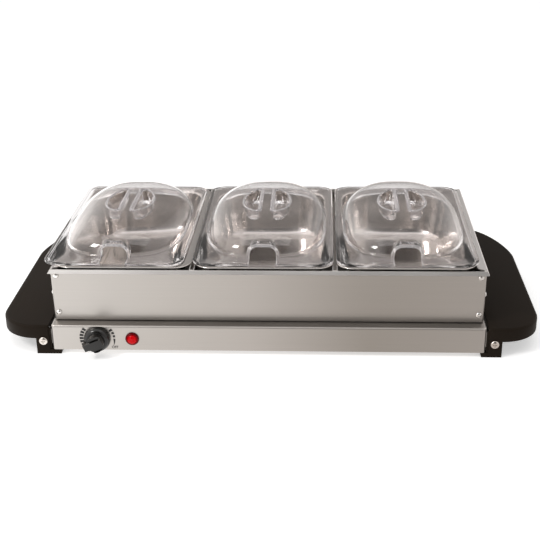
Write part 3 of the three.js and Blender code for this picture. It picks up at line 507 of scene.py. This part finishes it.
def dome_height(x, y):
    """Height of the dome's outer face over a place in plan, found by halving."""
    inside, outside, halvings = 1.0, 0.0001, 40
    for _ in range(halvings):
        c = (inside + outside) / 2
        across = abs(x / (DOME_W / 2 * c ** (2 / DOME_SIDE))) ** DOME_PLAN
        along = abs(y / (DOME_D / 2 * c ** (2 / DOME_END))) ** DOME_PLAN
        if across + along < 1:
            inside = c
        else:
            outside = c
    return FLANGE_TOP + DOME_H * math.sqrt(1 - c * c) ** (2 / DOME_SIDE)


def d_outline(side, grow, corner=4.0):
    """One D of the grip, with rounded corners: an elliptic arc and a straight beside the rib."""
    a = GRIP_W / 2 + grow - corner
    b = GRIP_L / 2 + grow - corner
    inner = GRIP_RIB / 2 - grow + corner
    widest = math.acos(inner / a)
    points = []
    arc_steps, corner_steps, side_steps = 40, 8, 10
    for i in range(arc_steps + 1):
        t = widest * (2 * i / arc_steps - 1)
        n = Vector((math.cos(t) / a, math.sin(t) / b)).normalized()
        points.append((a * math.cos(t) + corner * n.x, b * math.sin(t) + corner * n.y))
    last = math.atan2(n.y, n.x)
    top = b * math.sin(widest)
    for i in range(1, corner_steps + 1):
        t = last + (math.pi - last) * i / corner_steps
        points.append((inner + corner * math.cos(t), top + corner * math.sin(t)))
    for i in range(1, side_steps):
        points.append((inner - corner, top - 2 * top * i / side_steps))
    for i in range(corner_steps):
        t = math.pi + (math.pi - last) * i / corner_steps
        points.append((inner + corner * math.cos(t), -top + corner * math.sin(t)))
    if side < 0:
        points = [(-x, y) for x, y in reversed(points)]
    return points


def tube(path, radii, steps=12, closed=True):
    """Skin of a round bar along a path, with a radius at each point of it."""
    count = len(path)
    points = [Vector(p) for p in path]
    verts, faces = [], []
    across = Vector((0.31, 0.17, 0.93))  # any direction that the path never takes
    for i in range(count):
        before = points[i - 1] if closed or i else points[0]
        after = points[(i + 1) % count] if closed or i < count - 1 else points[-1]
        along = (after - before).normalized()
        across = (across - along * across.dot(along)).normalized()
        other = along.cross(across)
        for k in range(steps):
            a = TAU * k / steps
            verts.append(points[i] + across * (radii[i] * math.cos(a)) +
                         other * (radii[i] * math.sin(a)))
    for i in range(count if closed else count - 1):
        j = (i + 1) % count
        for k in range(steps):
            m = (k + 1) % steps
            faces.append((i * steps + k, i * steps + m, j * steps + m, j * steps + k))
    if not closed:
        faces.append(tuple(range(steps)))
        faces.append(tuple((count - 1) * steps + k for k in range(steps)))
    return verts, faces


def notch_arch(grow, foot):
    """The spoon notch from the front, as x and z, from a foot's height up."""
    half = NOTCH_W / 2 + grow
    top = FLANGE_TOP + NOTCH_H + grow
    corner = NOTCH_CORNER + grow
    return [(-half, foot), (half, foot)] + arc(half - corner, top - corner, corner, 0, 90, 12) + \
        arc(corner - half, top - corner, corner, 90, 180, 12)


def lid_mesh():
    rays = directions(LID_W, LID_D, LID_CORNER, 16, 22)
    half = (LID_W / 2, LID_D / 2)

    def edge(inset):
        return rect_ring(rays, half[0] - inset, half[1] - inset, LID_CORNER - inset)

    def dome(shrink, wide=1.0, deep=1.0):
        return oval_ring(rays, (DOME_W / 2 - shrink) * wide, (DOME_D / 2 - shrink) * deep, DOME_PLAN)

    def cap(first):
        return [(dome(0, wide, deep), FLANGE_TOP + DOME_H * rise)
                for wide, deep, rise in dome_profile(DOME_H, first)]

    def bowl(side, shrink, r, bottom):
        """Rings of a D-shaped cup's rounded bottom, of radius r."""
        turns = [math.radians(a) for a in range(0, 91, 15)]
        return [(d_outline(side, -shrink - r + r * math.sin(a), 5), bottom + r * (1 - math.cos(a)))
                for a in turns]

    top = FLANGE_TOP + BEAD_RISE
    chamfer = 0.3 * EDGE
    rings = [(edge(EDGE), LID_Z), (edge(chamfer), LID_Z + chamfer), (edge(0), LID_Z + EDGE),
             (edge(0), top - EDGE), (edge(chamfer), top - chamfer), (edge(EDGE), top),
             (edge(BEAD_IN - 2 * BEAD_RISE), top),
             (edge(BEAD_IN - 1.2 * BEAD_RISE), top - 0.2),
             (edge(BEAD_IN - 0.4 * BEAD_RISE), FLANGE_TOP + 0.1), (edge(BEAD_IN), FLANGE_TOP)]
    for i in range(7):
        a = math.radians(15 * i)
        rings.append((dome(-FILLET * (1 - math.sin(a))), FLANGE_TOP + FILLET * (1 - math.cos(a))))
    lid = solid("lid", loft(rings + cap(FILLET + 0.3)))
    hood = [(notch_arch(NOTCH_WALL - inset, LID_Z), NOTCH_Y + back)
            for inset, back in ((0.7, 0), (0.2, 0.2), (0, 0.7), (0, NOTCH_REACH))]
    verts, faces = loft(hood)
    lid = union(lid, solid("hood", ([(x, y, z) for x, z, y in verts], faces)))
    inside = [(dome(WALL - 1.2), LID_Z - 2), (dome(WALL - 1.2), LID_Z),
              (dome(WALL - 0.35), LID_Z + 0.35), (dome(WALL), LID_Z + 1.2)]
    for wide, deep, rise in dome_profile(DOME_H - WALL, 1.0):
        inside.append((dome(WALL, wide, deep), FLANGE_TOP + (DOME_H - WALL) * rise))
    lid = minus(lid, solid("inside", loft(inside)))
    notch = extruded(notch_arch(0, LID_Z - 2), -LID_D / 2 - 2, NOTCH_Y + NOTCH_REACH, "Y")
    lid = minus(lid, solid("notch", notch))
    floor = DOME_TOP - GRIP_DEPTH
    for side in (-1, 1):
        cup = bowl(side, 0.5, CUP_ROUND, floor - 2) + [(d_outline(side, 1.2), DOME_TOP + 4)]
        under_dome = solid("cap", loft([(dome(-0.2), LID_Z)] + cap(1.0)))
        lid = union(lid, common(solid("cup", loft(cup)), under_dome))
        pocket = bowl(side, WALL, POCKET_ROUND, floor)
        pocket += [(d_outline(side, -0.35), DOME_TOP - 3), (d_outline(side, 0.1), DOME_TOP + 4)]
        lid = minus(lid, solid("pocket", loft(pocket)))
    bm = bmesh.new()
    bm.from_mesh(lid.data)
    bmesh.ops.remove_doubles(bm, verts=bm.verts, dist=LID_WELD)
    bm.to_mesh(lid.data)
    bm.free()
    soften(lid.data, 32)
    return lid


def edge_mesh():
    """Rounded edges of the finger pockets, thick beside the rib, and of the spoon notch."""
    bars = []
    for side in (-1, 1):
        rim = d_outline(side, 1.0)
        radii = [1.15 + 1.1 * max(0, 1 - (abs(x) - GRIP_RIB / 2) / 4) for x, _ in rim]
        path = [(x, y, dome_height(x, y) - r + BAR_PROUD) for (x, y), r in zip(rim, radii)]
        bars.append(tube(path, radii))
    for grow, thick, out in ((0.5, 0.75, True), (NOTCH_WALL - 0.4, 0.65, False)):
        arch = notch_arch(grow, FLANGE_TOP)
        path = [(x, NOTCH_Y, z) for x, z in arch[1:] + arch[:1]]
        if out:
            ends = [(side * (NOTCH_W / 2 + grow), 1.3 - LID_D / 2, FLANGE_TOP + 0.3)
                    for side in (1, -1)]
            path = ends[:1] + path + ends[1:]
        bars.append(tube(path, [thick] * len(path), closed=False))
    verts, faces = [], []
    for bar_verts, bar_faces in bars:
        faces += [tuple(len(verts) + i for i in face) for face in bar_faces]
        verts += bar_verts
    return new_object("edges", mesh_of("edges", verts, faces), 40)


lid_shape = lid_mesh()
edge_shape = edge_mesh()
for name in SIDES:
    node = "lid_" + name
    x, y, _ = middle(node)
    spin = (0, 0, -LID_SPIN if name == "left" else 0)
    # The edge bars take the less clear plastic, a painted highlight along the rims.
    for title, shape, mat in (("clear_lid_", lid_shape, lid_clear),
                              ("lid_edges_", edge_shape, lid_edge_highlight)):
        piece = shape if name == "left" else copy_of(shape)
        dress(title + name, piece, node, mat, (x, y, 0), spin)


# Pans: rolled rim, straight drafted walls, wide floor bend
PAN_TOP = high("pan_middle")[2]
PAN_W, PAN_D = (high("pan_middle")[i] - low("pan_middle")[i] for i in (0, 1))
SHEET = 0.8


def pan_mesh():
    flange, fold, rim_h, rim_r = 10.75, 3, 1.6, 0.8
    well_corner, corner = 38, 20
    draft, bend, root, well = 5, 12, 3, 56.4
    floor = PAN_TOP - well
    rays = directions(PAN_W, PAN_D, corner, 14, 16)

    def skin(thick):
        return arc(-draft - bend, floor + bend, bend + thick, -90, 0, 12) + \
            arc(root, PAN_TOP - root, root - thick, 180, 90, 7)

    rim = [(flange - fold, PAN_TOP - SHEET), (flange - fold, PAN_TOP - rim_h)]
    rim += arc(flange - rim_r, PAN_TOP - rim_h + rim_r, rim_r, -90, 0, 4)
    rim += arc(flange - rim_r, PAN_TOP - rim_r, rim_r, 0, 90, 4)[1:]
    profile = skin(SHEET) + rim + list(reversed(skin(0)))
    rings = []
    for out, z in profile:
        radius = well_corner + (out if out < 0 else (corner - well_corner) * out / flange)
        ring = rect_ring(rays, PAN_W / 2 - flange + out, PAN_D / 2 - flange + out, radius)
        rings.append((ring, z))
    return new_object("pan", mesh_of("pan", *loft(rings)), 50)


pan_shape = pan_mesh()
for name in SIDES:
    node = "pan_" + name
    x, y, _ = middle(node)
    piece = pan_shape if name == "left" else copy_of(pan_shape)
    dress("steel_pan_" + name, piece, node, pan_steel, (x, y, 0))


# Wing handles: a tight corner in front and a long, flat one behind
def wing_mesh(long_end):
    """The right wing; the foot at its long end, 1 behind or -1 in front, is turned in further."""
    right_low, right_high = low("wing_right"), high("wing_right")
    outer = right_high[0]
    inner = high("base_shell")[0] - 10
    half = (right_high[1] - right_low[1]) / 2
    top = right_high[2]
    under = top - 16
    wall, edge_r, reach, inner_r = 2.6, 3.0, 44, 1.5
    back_x, back_y, back_bend, back_steps = inner + 16, 60, 1.5, 24
    leg, foot_depth, foot_top = 15, 18, 5.2
    hole_r, hole_x, hole_z = 2.3, 6.7, 16.2

    def outline(inset, inner_inset=0):
        left, right, h, r = inner + inner_inset, outer - inset, half - inset, reach - inset
        turns = [HALF * i / back_steps for i in range(back_steps + 1)]
        points = [(back_x + (right - back_x) * math.cos(a) ** (2 / back_bend),
                   back_y + (h - back_y) * math.sin(a) ** (2 / back_bend)) for a in turns]
        points += arc(left + inner_r, h - inner_r, inner_r, 90, 180, 4)
        points += arc(left + inner_r, inner_r - h, inner_r, 180, 270, 4)
        points += arc(right - r, r - h, r, 270, 360, 24)
        return points

    rings = [(outline(0.6), under), (outline(0.15), under + 0.15), (outline(0), under + 0.6)]
    rings += [(outline(-out), z) for out, z in arc(-edge_r, top - edge_r, edge_r, 0, 90, 8)]
    body = solid("wing", loft(rings))
    hollow = [(outline(wall, wall), under - 2), (outline(wall, wall), top - 2 * wall),
              (outline(edge_r + wall / 2, wall), top - wall)]
    body = minus(body, solid("hollow", loft(hollow)))
    for end in (-1, 1):
        tip = right_low[0] if end == long_end else right_low[0] + 5
        back = half - foot_depth
        y0, y1 = sorted((end * half, end * back))
        foot = [(tip, foot_top), (tip + 1.2, 0), (inner + leg, 0), (inner + leg, foot_top)]
        body = union(body, solid("foot", extruded(foot, y0, y1, "Y")))
        low_z, high_z = foot_top - 2, under + wall
        w0, w1 = sorted((end * half, end * (half - wall)))
        body = union(body, solid("leg", brick(inner, inner + leg, w0, w1, low_z, high_z)))
        body = union(body, solid("leg", brick(inner + leg - wall, inner + leg, y0, y1, low_z, high_z)))
        # The web is a dark sheet in the gap beside the base, standing in for the shade there.
        w0, w1 = sorted((end * (half - 1.2), end * (half - wall)))
        shade_web = brick(inner - 2.4, inner + wall, w0, w1, foot_top, top - edge_r)
        body = union(body, solid("shade_web", shade_web))
        w0, w1 = sorted((end * (half - wall), end * back))
        slot = brick(inner - 2, inner + wall + 1.8, w0, w1, foot_top, top - 5)
        body = minus(body, solid("slot", slot))
        hole = solid("hole", turned([(0, -8), (hole_r, -8), (hole_r, 8), (0, 8)], 24))
        place = Vector((inner + hole_x, end * half, hole_z)) * MM
        hole.data.transform(Matrix.Translation(place) @ Matrix.Rotation(HALF, 4, "X"))
        body = minus(body, hole)
    soften(body.data, 32)
    return body


WING_PLACE = (0, CENTRE_Y, 0)
dress("moulded_wing_right", wing_mesh(1), "wing_right", wing_plastic, WING_PLACE)
left_wing = wing_mesh(-1)
left_wing.data.transform(Matrix.Diagonal((-1, 1, 1, 1)))
left_wing.data.flip_normals()
dress("moulded_wing_left", left_wing, "wing_left", wing_plastic, WING_PLACE)


# Fasteners
def screw_mesh(head, head_h, shank, length, name):
    profile = [(0, -length), (shank * 0.3, -length), (shank / 2, -length + 1), (shank / 2, 0),
               (head / 2, 0)]
    profile += bow(0, head_h * 0.25, head / 2, head_h * 0.75, 0, 90, 9) + [(0, head_h)]
    screw = solid(name, turned(profile, 40))
    arm, half_w = head * 0.25, head * 0.045
    for turn in (0, HALF):
        slot = solid("slot", brick(-arm, arm, -half_w, half_w, head_h * 0.45, head_h + 1))
        slot.data.transform(Matrix.Rotation(turn, 4, "Z"))
        screw = minus(screw, slot)
    soften(screw.data, 35)
    return screw


def facing(turn):
    """Turns a piece made upright to look out of the front, and from there about Z."""
    return (Matrix.Rotation(turn, 4, "Z") @ Matrix.Rotation(HALF, 4, "X")).to_euler()


SCREW_PROUD = 0.3
shape = screw_mesh(9.6, 2.6, 4, 11, "wing_screw")
for i, corner in enumerate(CORNERS):
    node = "wing_screw_" + corner
    x, _, z = middle(node)
    y = BASE_FRONT - SCREW_PROUD if i < 2 else BASE_BACK + SCREW_PROUD
    piece = shape if i == 0 else copy_of(shape)
    turn = facing(0 if i < 2 else math.pi)
    dress("cross_" + node, piece, node, screw_steel, (x, y, z), turn)

RIVET_X, RIVET_Y = 241, 135
rivet_profile = [(0, -3.4), (2.5, -3.4), (2.5, -2.2), (1.6, -2.2), (1.6, 0.3), (3.2, 0.3)]
rivet_profile += bow(0, 0.5, 3.2, 1.6, 0, 90, 10) + [(0, 2.1)]
rivet_shape = new_object("rivet", mesh_of("rivet", *turned(rivet_profile, 32)), 40)
for kind in ("top", "low", "end"):
    for i, corner in enumerate(CORNERS):
        node = "rivet_%s_%s" % (kind, corner)
        x, y, z = middle(node)
        if kind == "end":
            side = -1 if i % 2 == 0 else 1
            x = side * RIVET_X
            turn = facing(side * HALF)
        else:
            turn = facing(0 if i < 2 else math.pi)
            y = CENTRE_Y + (-RIVET_Y if i < 2 else RIVET_Y)
        piece = rivet_shape if kind == "top" and i == 0 else copy_of(rivet_shape)
        dress("round_" + node, piece, node, rivet_steel, (x, y, z), turn)


# Knob and lamp
KNOB_X, _, KNOB_Z = middle("thermostat_spindle")
KNOB_TURN = math.radians(203)


def knob_mesh():
    skirt = [(0, 0.8), (15, 0.8), (15, 1.6)] + bow(10, 1.6, 5, 7.4, 9, 91, 9) + [(0, 9)]
    knob = solid("knob", turned(skirt, 96))
    reach, taper, steps = 18.5, 1.4, 60
    flute_at, flute_deep, wide_top, wide_floor = 6.6, 3, 2.6, 1.4
    bore_r, bore_end = 3.3, 12.8

    def outline(inset):
        """A round grip with a pointer along X."""
        radius, half, tip = 10.5 - inset, 4.7 - inset, 14.2 - inset
        start = math.asin(half / radius)
        turns = [start + (TAU - 2 * start) * i / steps for i in range(steps + 1)]
        return [(tip, -half), (tip, half)] + [(radius * math.cos(a), radius * math.sin(a))
                                              for a in turns]

    grip = [(outline(0), 4), (outline(taper / 2), reach - taper)]
    grip += [(outline(taper / 2 + 0.7 * (1 - math.cos(math.radians(a)))),
              reach - taper + taper * math.sin(math.radians(a))) for a in (30, 60, 90)]
    knob = union(knob, solid("grip", loft(grip)))
    for v in (-flute_at, flute_at):
        flute = [(v - wide_top, reach + 0.5), (v - wide_floor, reach - flute_deep),
                 (v + wide_floor, reach - flute_deep), (v + wide_top, reach + 0.5)]
        knob = minus(knob, solid("flute", extruded(flute, -30, 30, "X")))
    bore = turned([(0, -2), (bore_r, -2), (bore_r, bore_end), (0, bore_end)], 32)
    knob = minus(knob, solid("bore", bore))
    soften(knob.data, 30)
    return knob


KNOB_PLACE = (KNOB_X, BASE_FRONT, KNOB_Z)
knob_turn = Matrix.Rotation(HALF, 4, "X") @ Matrix.Rotation(KNOB_TURN, 4, "Z")
dress("fluted_knob", knob_mesh(), "knob", knob_plastic, KNOB_PLACE, knob_turn.to_euler())

LAMP_X, _, LAMP_Z = middle("lamp_lens")
LAMP_PLACE = (LAMP_X, BASE_FRONT, LAMP_Z)
lens_profile = [(0, 0.3), (7.7, 0.3)] + arc(7.2, 1.0, 0.5, 0, 70, 4)
lens_profile += [(6.3, 2.4)] + arc(5.9, 2.1, 0.5, 70, 150, 3)
lens_profile += bow(0, 1.9, 5.3, 2.9, 0, 90, 10) + [(0, 4.8)]
lens_shape = new_object("lens", mesh_of("lens", *turned(lens_profile, 64)), 35)
dress("domed_lamp_lens", lens_shape, "lamp_lens", lamp_lens_red, LAMP_PLACE, facing(0))


# Dial marks and word printed on the front
DIAL_IN, DIAL_OUT = 15.8, 20.3
LEFT_FIRST, LEFT_STEP, LEFT_HALF = 143.5, 12.3, 4.4
RIGHT_FIRST, RIGHT_STEP, RIGHT_HALF = 32.5, 12.6, 4.2
CRESCENT_THIN = 0.0105


def printed(piece, place):
    piece.location = Vector(place) * MM
    piece.rotation_euler = (HALF, 0, 0)
    piece.data.materials.append(print_ink)
    bpy.context.view_layer.update()
    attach(piece, "base")


def ink(name, points):
    """A thin mark, drawn as seen from the front about the knob's middle."""
    printed(solid(name, extruded(points, 0.02, 0.08)), KNOB_PLACE)


def mark(r0, r1, a0, a1):
    return arc(0, 0, r1, a0, a1, 8) + list(reversed(arc(0, 0, r0, a0, a1, 8)))


for i in range(6):
    a = LEFT_FIRST + i * LEFT_STEP
    ink("dial_bar_left_%d" % i, mark(DIAL_IN, DIAL_OUT, a - LEFT_HALF, a + LEFT_HALF))
for i, wide in enumerate((3.9, 3.1, 2.6)):
    a = RIGHT_FIRST - i * RIGHT_STEP
    ink("dial_bar_right_%d" % i, mark(DIAL_OUT - wide, DIAL_OUT, a - RIGHT_HALF, a + RIGHT_HALF))
outer = arc(0, 0, DIAL_OUT, -2, -31, 12)
inner = [(x * (1 - k * CRESCENT_THIN), y * (1 - k * CRESCENT_THIN))
         for k, (x, y) in enumerate(reversed(outer))]
ink("dial_crescent", outer + inner)

text = bpy.data.curves.new("dial_word_curve", "FONT")
text.body = "OFF"
text.size = 4.2 * MM
text.extrude = 0.03 * MM
text.offset = 0.08 * MM
word = bpy.data.objects.new("dial_word_off", text)
bpy.context.scene.collection.objects.link(word)
printed(word, (KNOB_X + 15.5, BASE_FRONT - 0.05, KNOB_Z - 12.5))


# Materials by the start of a CAD node's name, the first that fits
LOOKS = {"base_shell": base_steel, "frame_": frame_steel_lip_highlight, "crossbar_": frame_steel_lip_highlight,
         "bottom_cover": zinc_steel, "cover_screw": zinc_steel, "element_clamp": zinc_steel,
         "thermostat_spindle": zinc_steel, "heating_element": element_steel, "thermal_cutout": phenolic,
         "thermostat_body": phenolic, "lamp_housing": lamp_plastic, "cord_gland": gland_plastic,
         "wing_screw": screw_steel, "rivet_": rivet_steel, "wing_": wing_plastic,
         "knob": knob_plastic, "lamp_lens": lamp_lens_red, "pan_": pan_steel, "lid_": lid_clear}
for node, obj in frame["nodes"].items():
    for key, mat in LOOKS.items():
        if node.startswith(key):
            obj.data.materials.clear()
            obj.data.materials.append(mat)
            break
    if not obj.hide_render:
        soften(obj.data, 40)


# Floor, light and camera. Mirror-like reflections see a graded floor and studio. What is seen
# directly or through the clear lids is plain.
FLOOR_REFLECTED = [(0.05, (1.0, 0.99, 0.98)), (0.25, (0.83, 0.81, 0.79)), (0.46, (0.71, 0.68, 0.66)),
                   (0.69, (0.44, 0.41, 0.38)), (0.95, (0.5, 0.47, 0.45))]
FLOOR_HALF = 3000
SPREAD = 0.3  # metres to each side over which the reflected floor is graded
FLOOR_GLOW, REFLECTED_GLOW = 0.45, 1.5


def reflected(nt):
    """One for a ray that a mirror-like face has sent on, else zero."""
    path = nt.nodes.new("ShaderNodeLightPath")
    return math_node(nt, "GREATER_THAN", path.outputs["Glossy Depth"], 0.5)


def stage_floor():
    corners = [(x * FLOOR_HALF, y * FLOOR_HALF, 0) for x, y in ((-1, -1), (1, -1), (1, 1), (-1, 1))]
    floor = solid("floor", (corners, [(0, 1, 2, 3)]))
    mat, nt, sh, out = tree("floor_look")
    sh.inputs["Base Color"].default_value = (0.9, 0.9, 0.9, 1)
    sh.inputs["Roughness"].default_value = 0.9
    glow = nt.nodes.new("ShaderNodeEmission")
    glow.inputs["Strength"].default_value = FLOOR_GLOW
    add = nt.nodes.new("ShaderNodeAddShader")
    nt.links.new(sh.outputs[0], add.inputs[0])
    nt.links.new(glow.outputs[0], add.inputs[1])
    graded = nt.nodes.new("ShaderNodeEmission")
    across = remap(nt, axes(nt, coords(nt))[0], -SPREAD, SPREAD, 0, 1)
    nt.links.new(ramp(nt, across, FLOOR_REFLECTED), graded.inputs[0])
    graded.inputs["Strength"].default_value = REFLECTED_GLOW
    mix = nt.nodes.new("ShaderNodeMixShader")
    nt.links.new(reflected(nt), mix.inputs[0])
    nt.links.new(add.outputs[0], mix.inputs[1])
    nt.links.new(graded.outputs[0], mix.inputs[2])
    nt.links.new(mix.outputs[0], out.inputs[0])
    mat.cycles.emission_sampling = "NONE"  # as its strength hangs on the kind of ray
    floor.data.materials.append(mat)


# Brightness that the studio adds along X, Y or Z (0, 1 or 2): from and to a share of the way
# there, and the levels at both
STUDIO = [(0, -0.35, 0.05, 0.15, 0.0), (0, 0.25, 0.55, 0.0, 0.8), (0, -0.55, -0.25, 1.25, 0.0),
          (1, -0.5, 0.6, 0.03, 0.36), (2, 0.45, 0.95, 0.0, 0.2)]


def stage_world():
    world = bpy.data.worlds.new("studio")
    bpy.context.scene.world = world
    world.use_nodes = True
    nt = world.node_tree
    nt.nodes.clear()

    def sky(colour, strength=1.0):
        n = nt.nodes.new("ShaderNodeBackground")
        n.inputs[0].default_value = colour
        n.inputs[1].default_value = strength
        return n

    def choice(factor, no, yes):
        n = nt.nodes.new("ShaderNodeMixShader")
        nt.links.new(factor, n.inputs[0])
        nt.links.new(no.outputs[0], n.inputs[1])
        nt.links.new(yes.outputs[0], n.inputs[2])
        return n

    out = nt.nodes.new("ShaderNodeOutputWorld")
    soft = sky((1, 0.99, 0.98, 1), 0.55)
    plain = sky((1, 1, 1, 1))
    studio = sky((1, 0.965, 0.94, 1))
    toward = axes(nt, nt.nodes.new("ShaderNodeTexCoord").outputs["Generated"])
    total = 0.0
    for axis, start, end, first, last in STUDIO:
        total = math_node(nt, "ADD", total, remap(nt, toward[axis], start, end, first, last))
    nt.links.new(total, studio.inputs[1])
    path = nt.nodes.new("ShaderNodeLightPath")
    seen = math_node(nt, "MAXIMUM", path.outputs["Is Camera Ray"],
                     math_node(nt, "MAXIMUM", path.outputs["Is Glossy Ray"],
                               path.outputs["Is Transmission Ray"]))
    mixed = choice(seen, soft, choice(reflected(nt), plain, studio))
    nt.links.new(mixed.outputs[0], out.inputs[0])
    world.cycles.sampling_method = "NONE"  # for the same reason


def area(name, location, target, size, power, colour=(1, 1, 1)):
    light = bpy.data.lights.new(name, "AREA")
    light.shape = "RECTANGLE"
    light.size, light.size_y = size
    light.energy = power
    light.color = colour
    obj = bpy.data.objects.new(name, light)
    bpy.context.scene.collection.objects.link(obj)
    obj.location = location
    obj.rotation_euler = (Vector(target) - Vector(location)).to_track_quat("-Z", "Y").to_euler()


TARGET = (0, 0, 0.05)
stage_floor()
stage_world()
area("key_left", (-1.3, -1.0, 1.5), TARGET, (0.5, 0.5), 15, (1, 0.985, 0.965))
area("top_soft", (0, -0.4, 1.9), TARGET, (1.8, 1.4), 8)

# The camera that was fitted to the photo's straight edges
YAW, PITCH, ROLL = (math.radians(v) for v in (2.937, 23.787, -0.879))
EYE = (0.0594, -1.2119, 0.5759)
SENSOR, FOCAL_PX, IMAGE_PX = 36, 1076.2, 540
ahead = Vector((-math.sin(YAW) * math.cos(PITCH), math.cos(YAW) * math.cos(PITCH), -math.sin(PITCH)))
level = Vector((math.cos(YAW), math.sin(YAW), 0))
upright = level.cross(ahead)
side = math.cos(ROLL) * level + math.sin(ROLL) * upright
upright = -math.sin(ROLL) * level + math.cos(ROLL) * upright
camera_data = bpy.data.cameras.new("camera")
camera_data.sensor_width = SENSOR
camera_data.lens = SENSOR * FOCAL_PX / IMAGE_PX
camera_data.clip_start = 0.05
camera = bpy.data.objects.new("camera", camera_data)
bpy.context.scene.collection.objects.link(camera)
spin = Matrix((side, upright, -ahead)).transposed().to_4x4()
camera.matrix_world = Matrix.Translation(EYE) @ spin
scene = bpy.context.scene
scene.camera = camera
scene.view_settings.view_transform = "Standard"
scene.cycles.max_bounces = 32
scene.cycles.glossy_bounces = 16
scene.cycles.transmission_bounces = 24
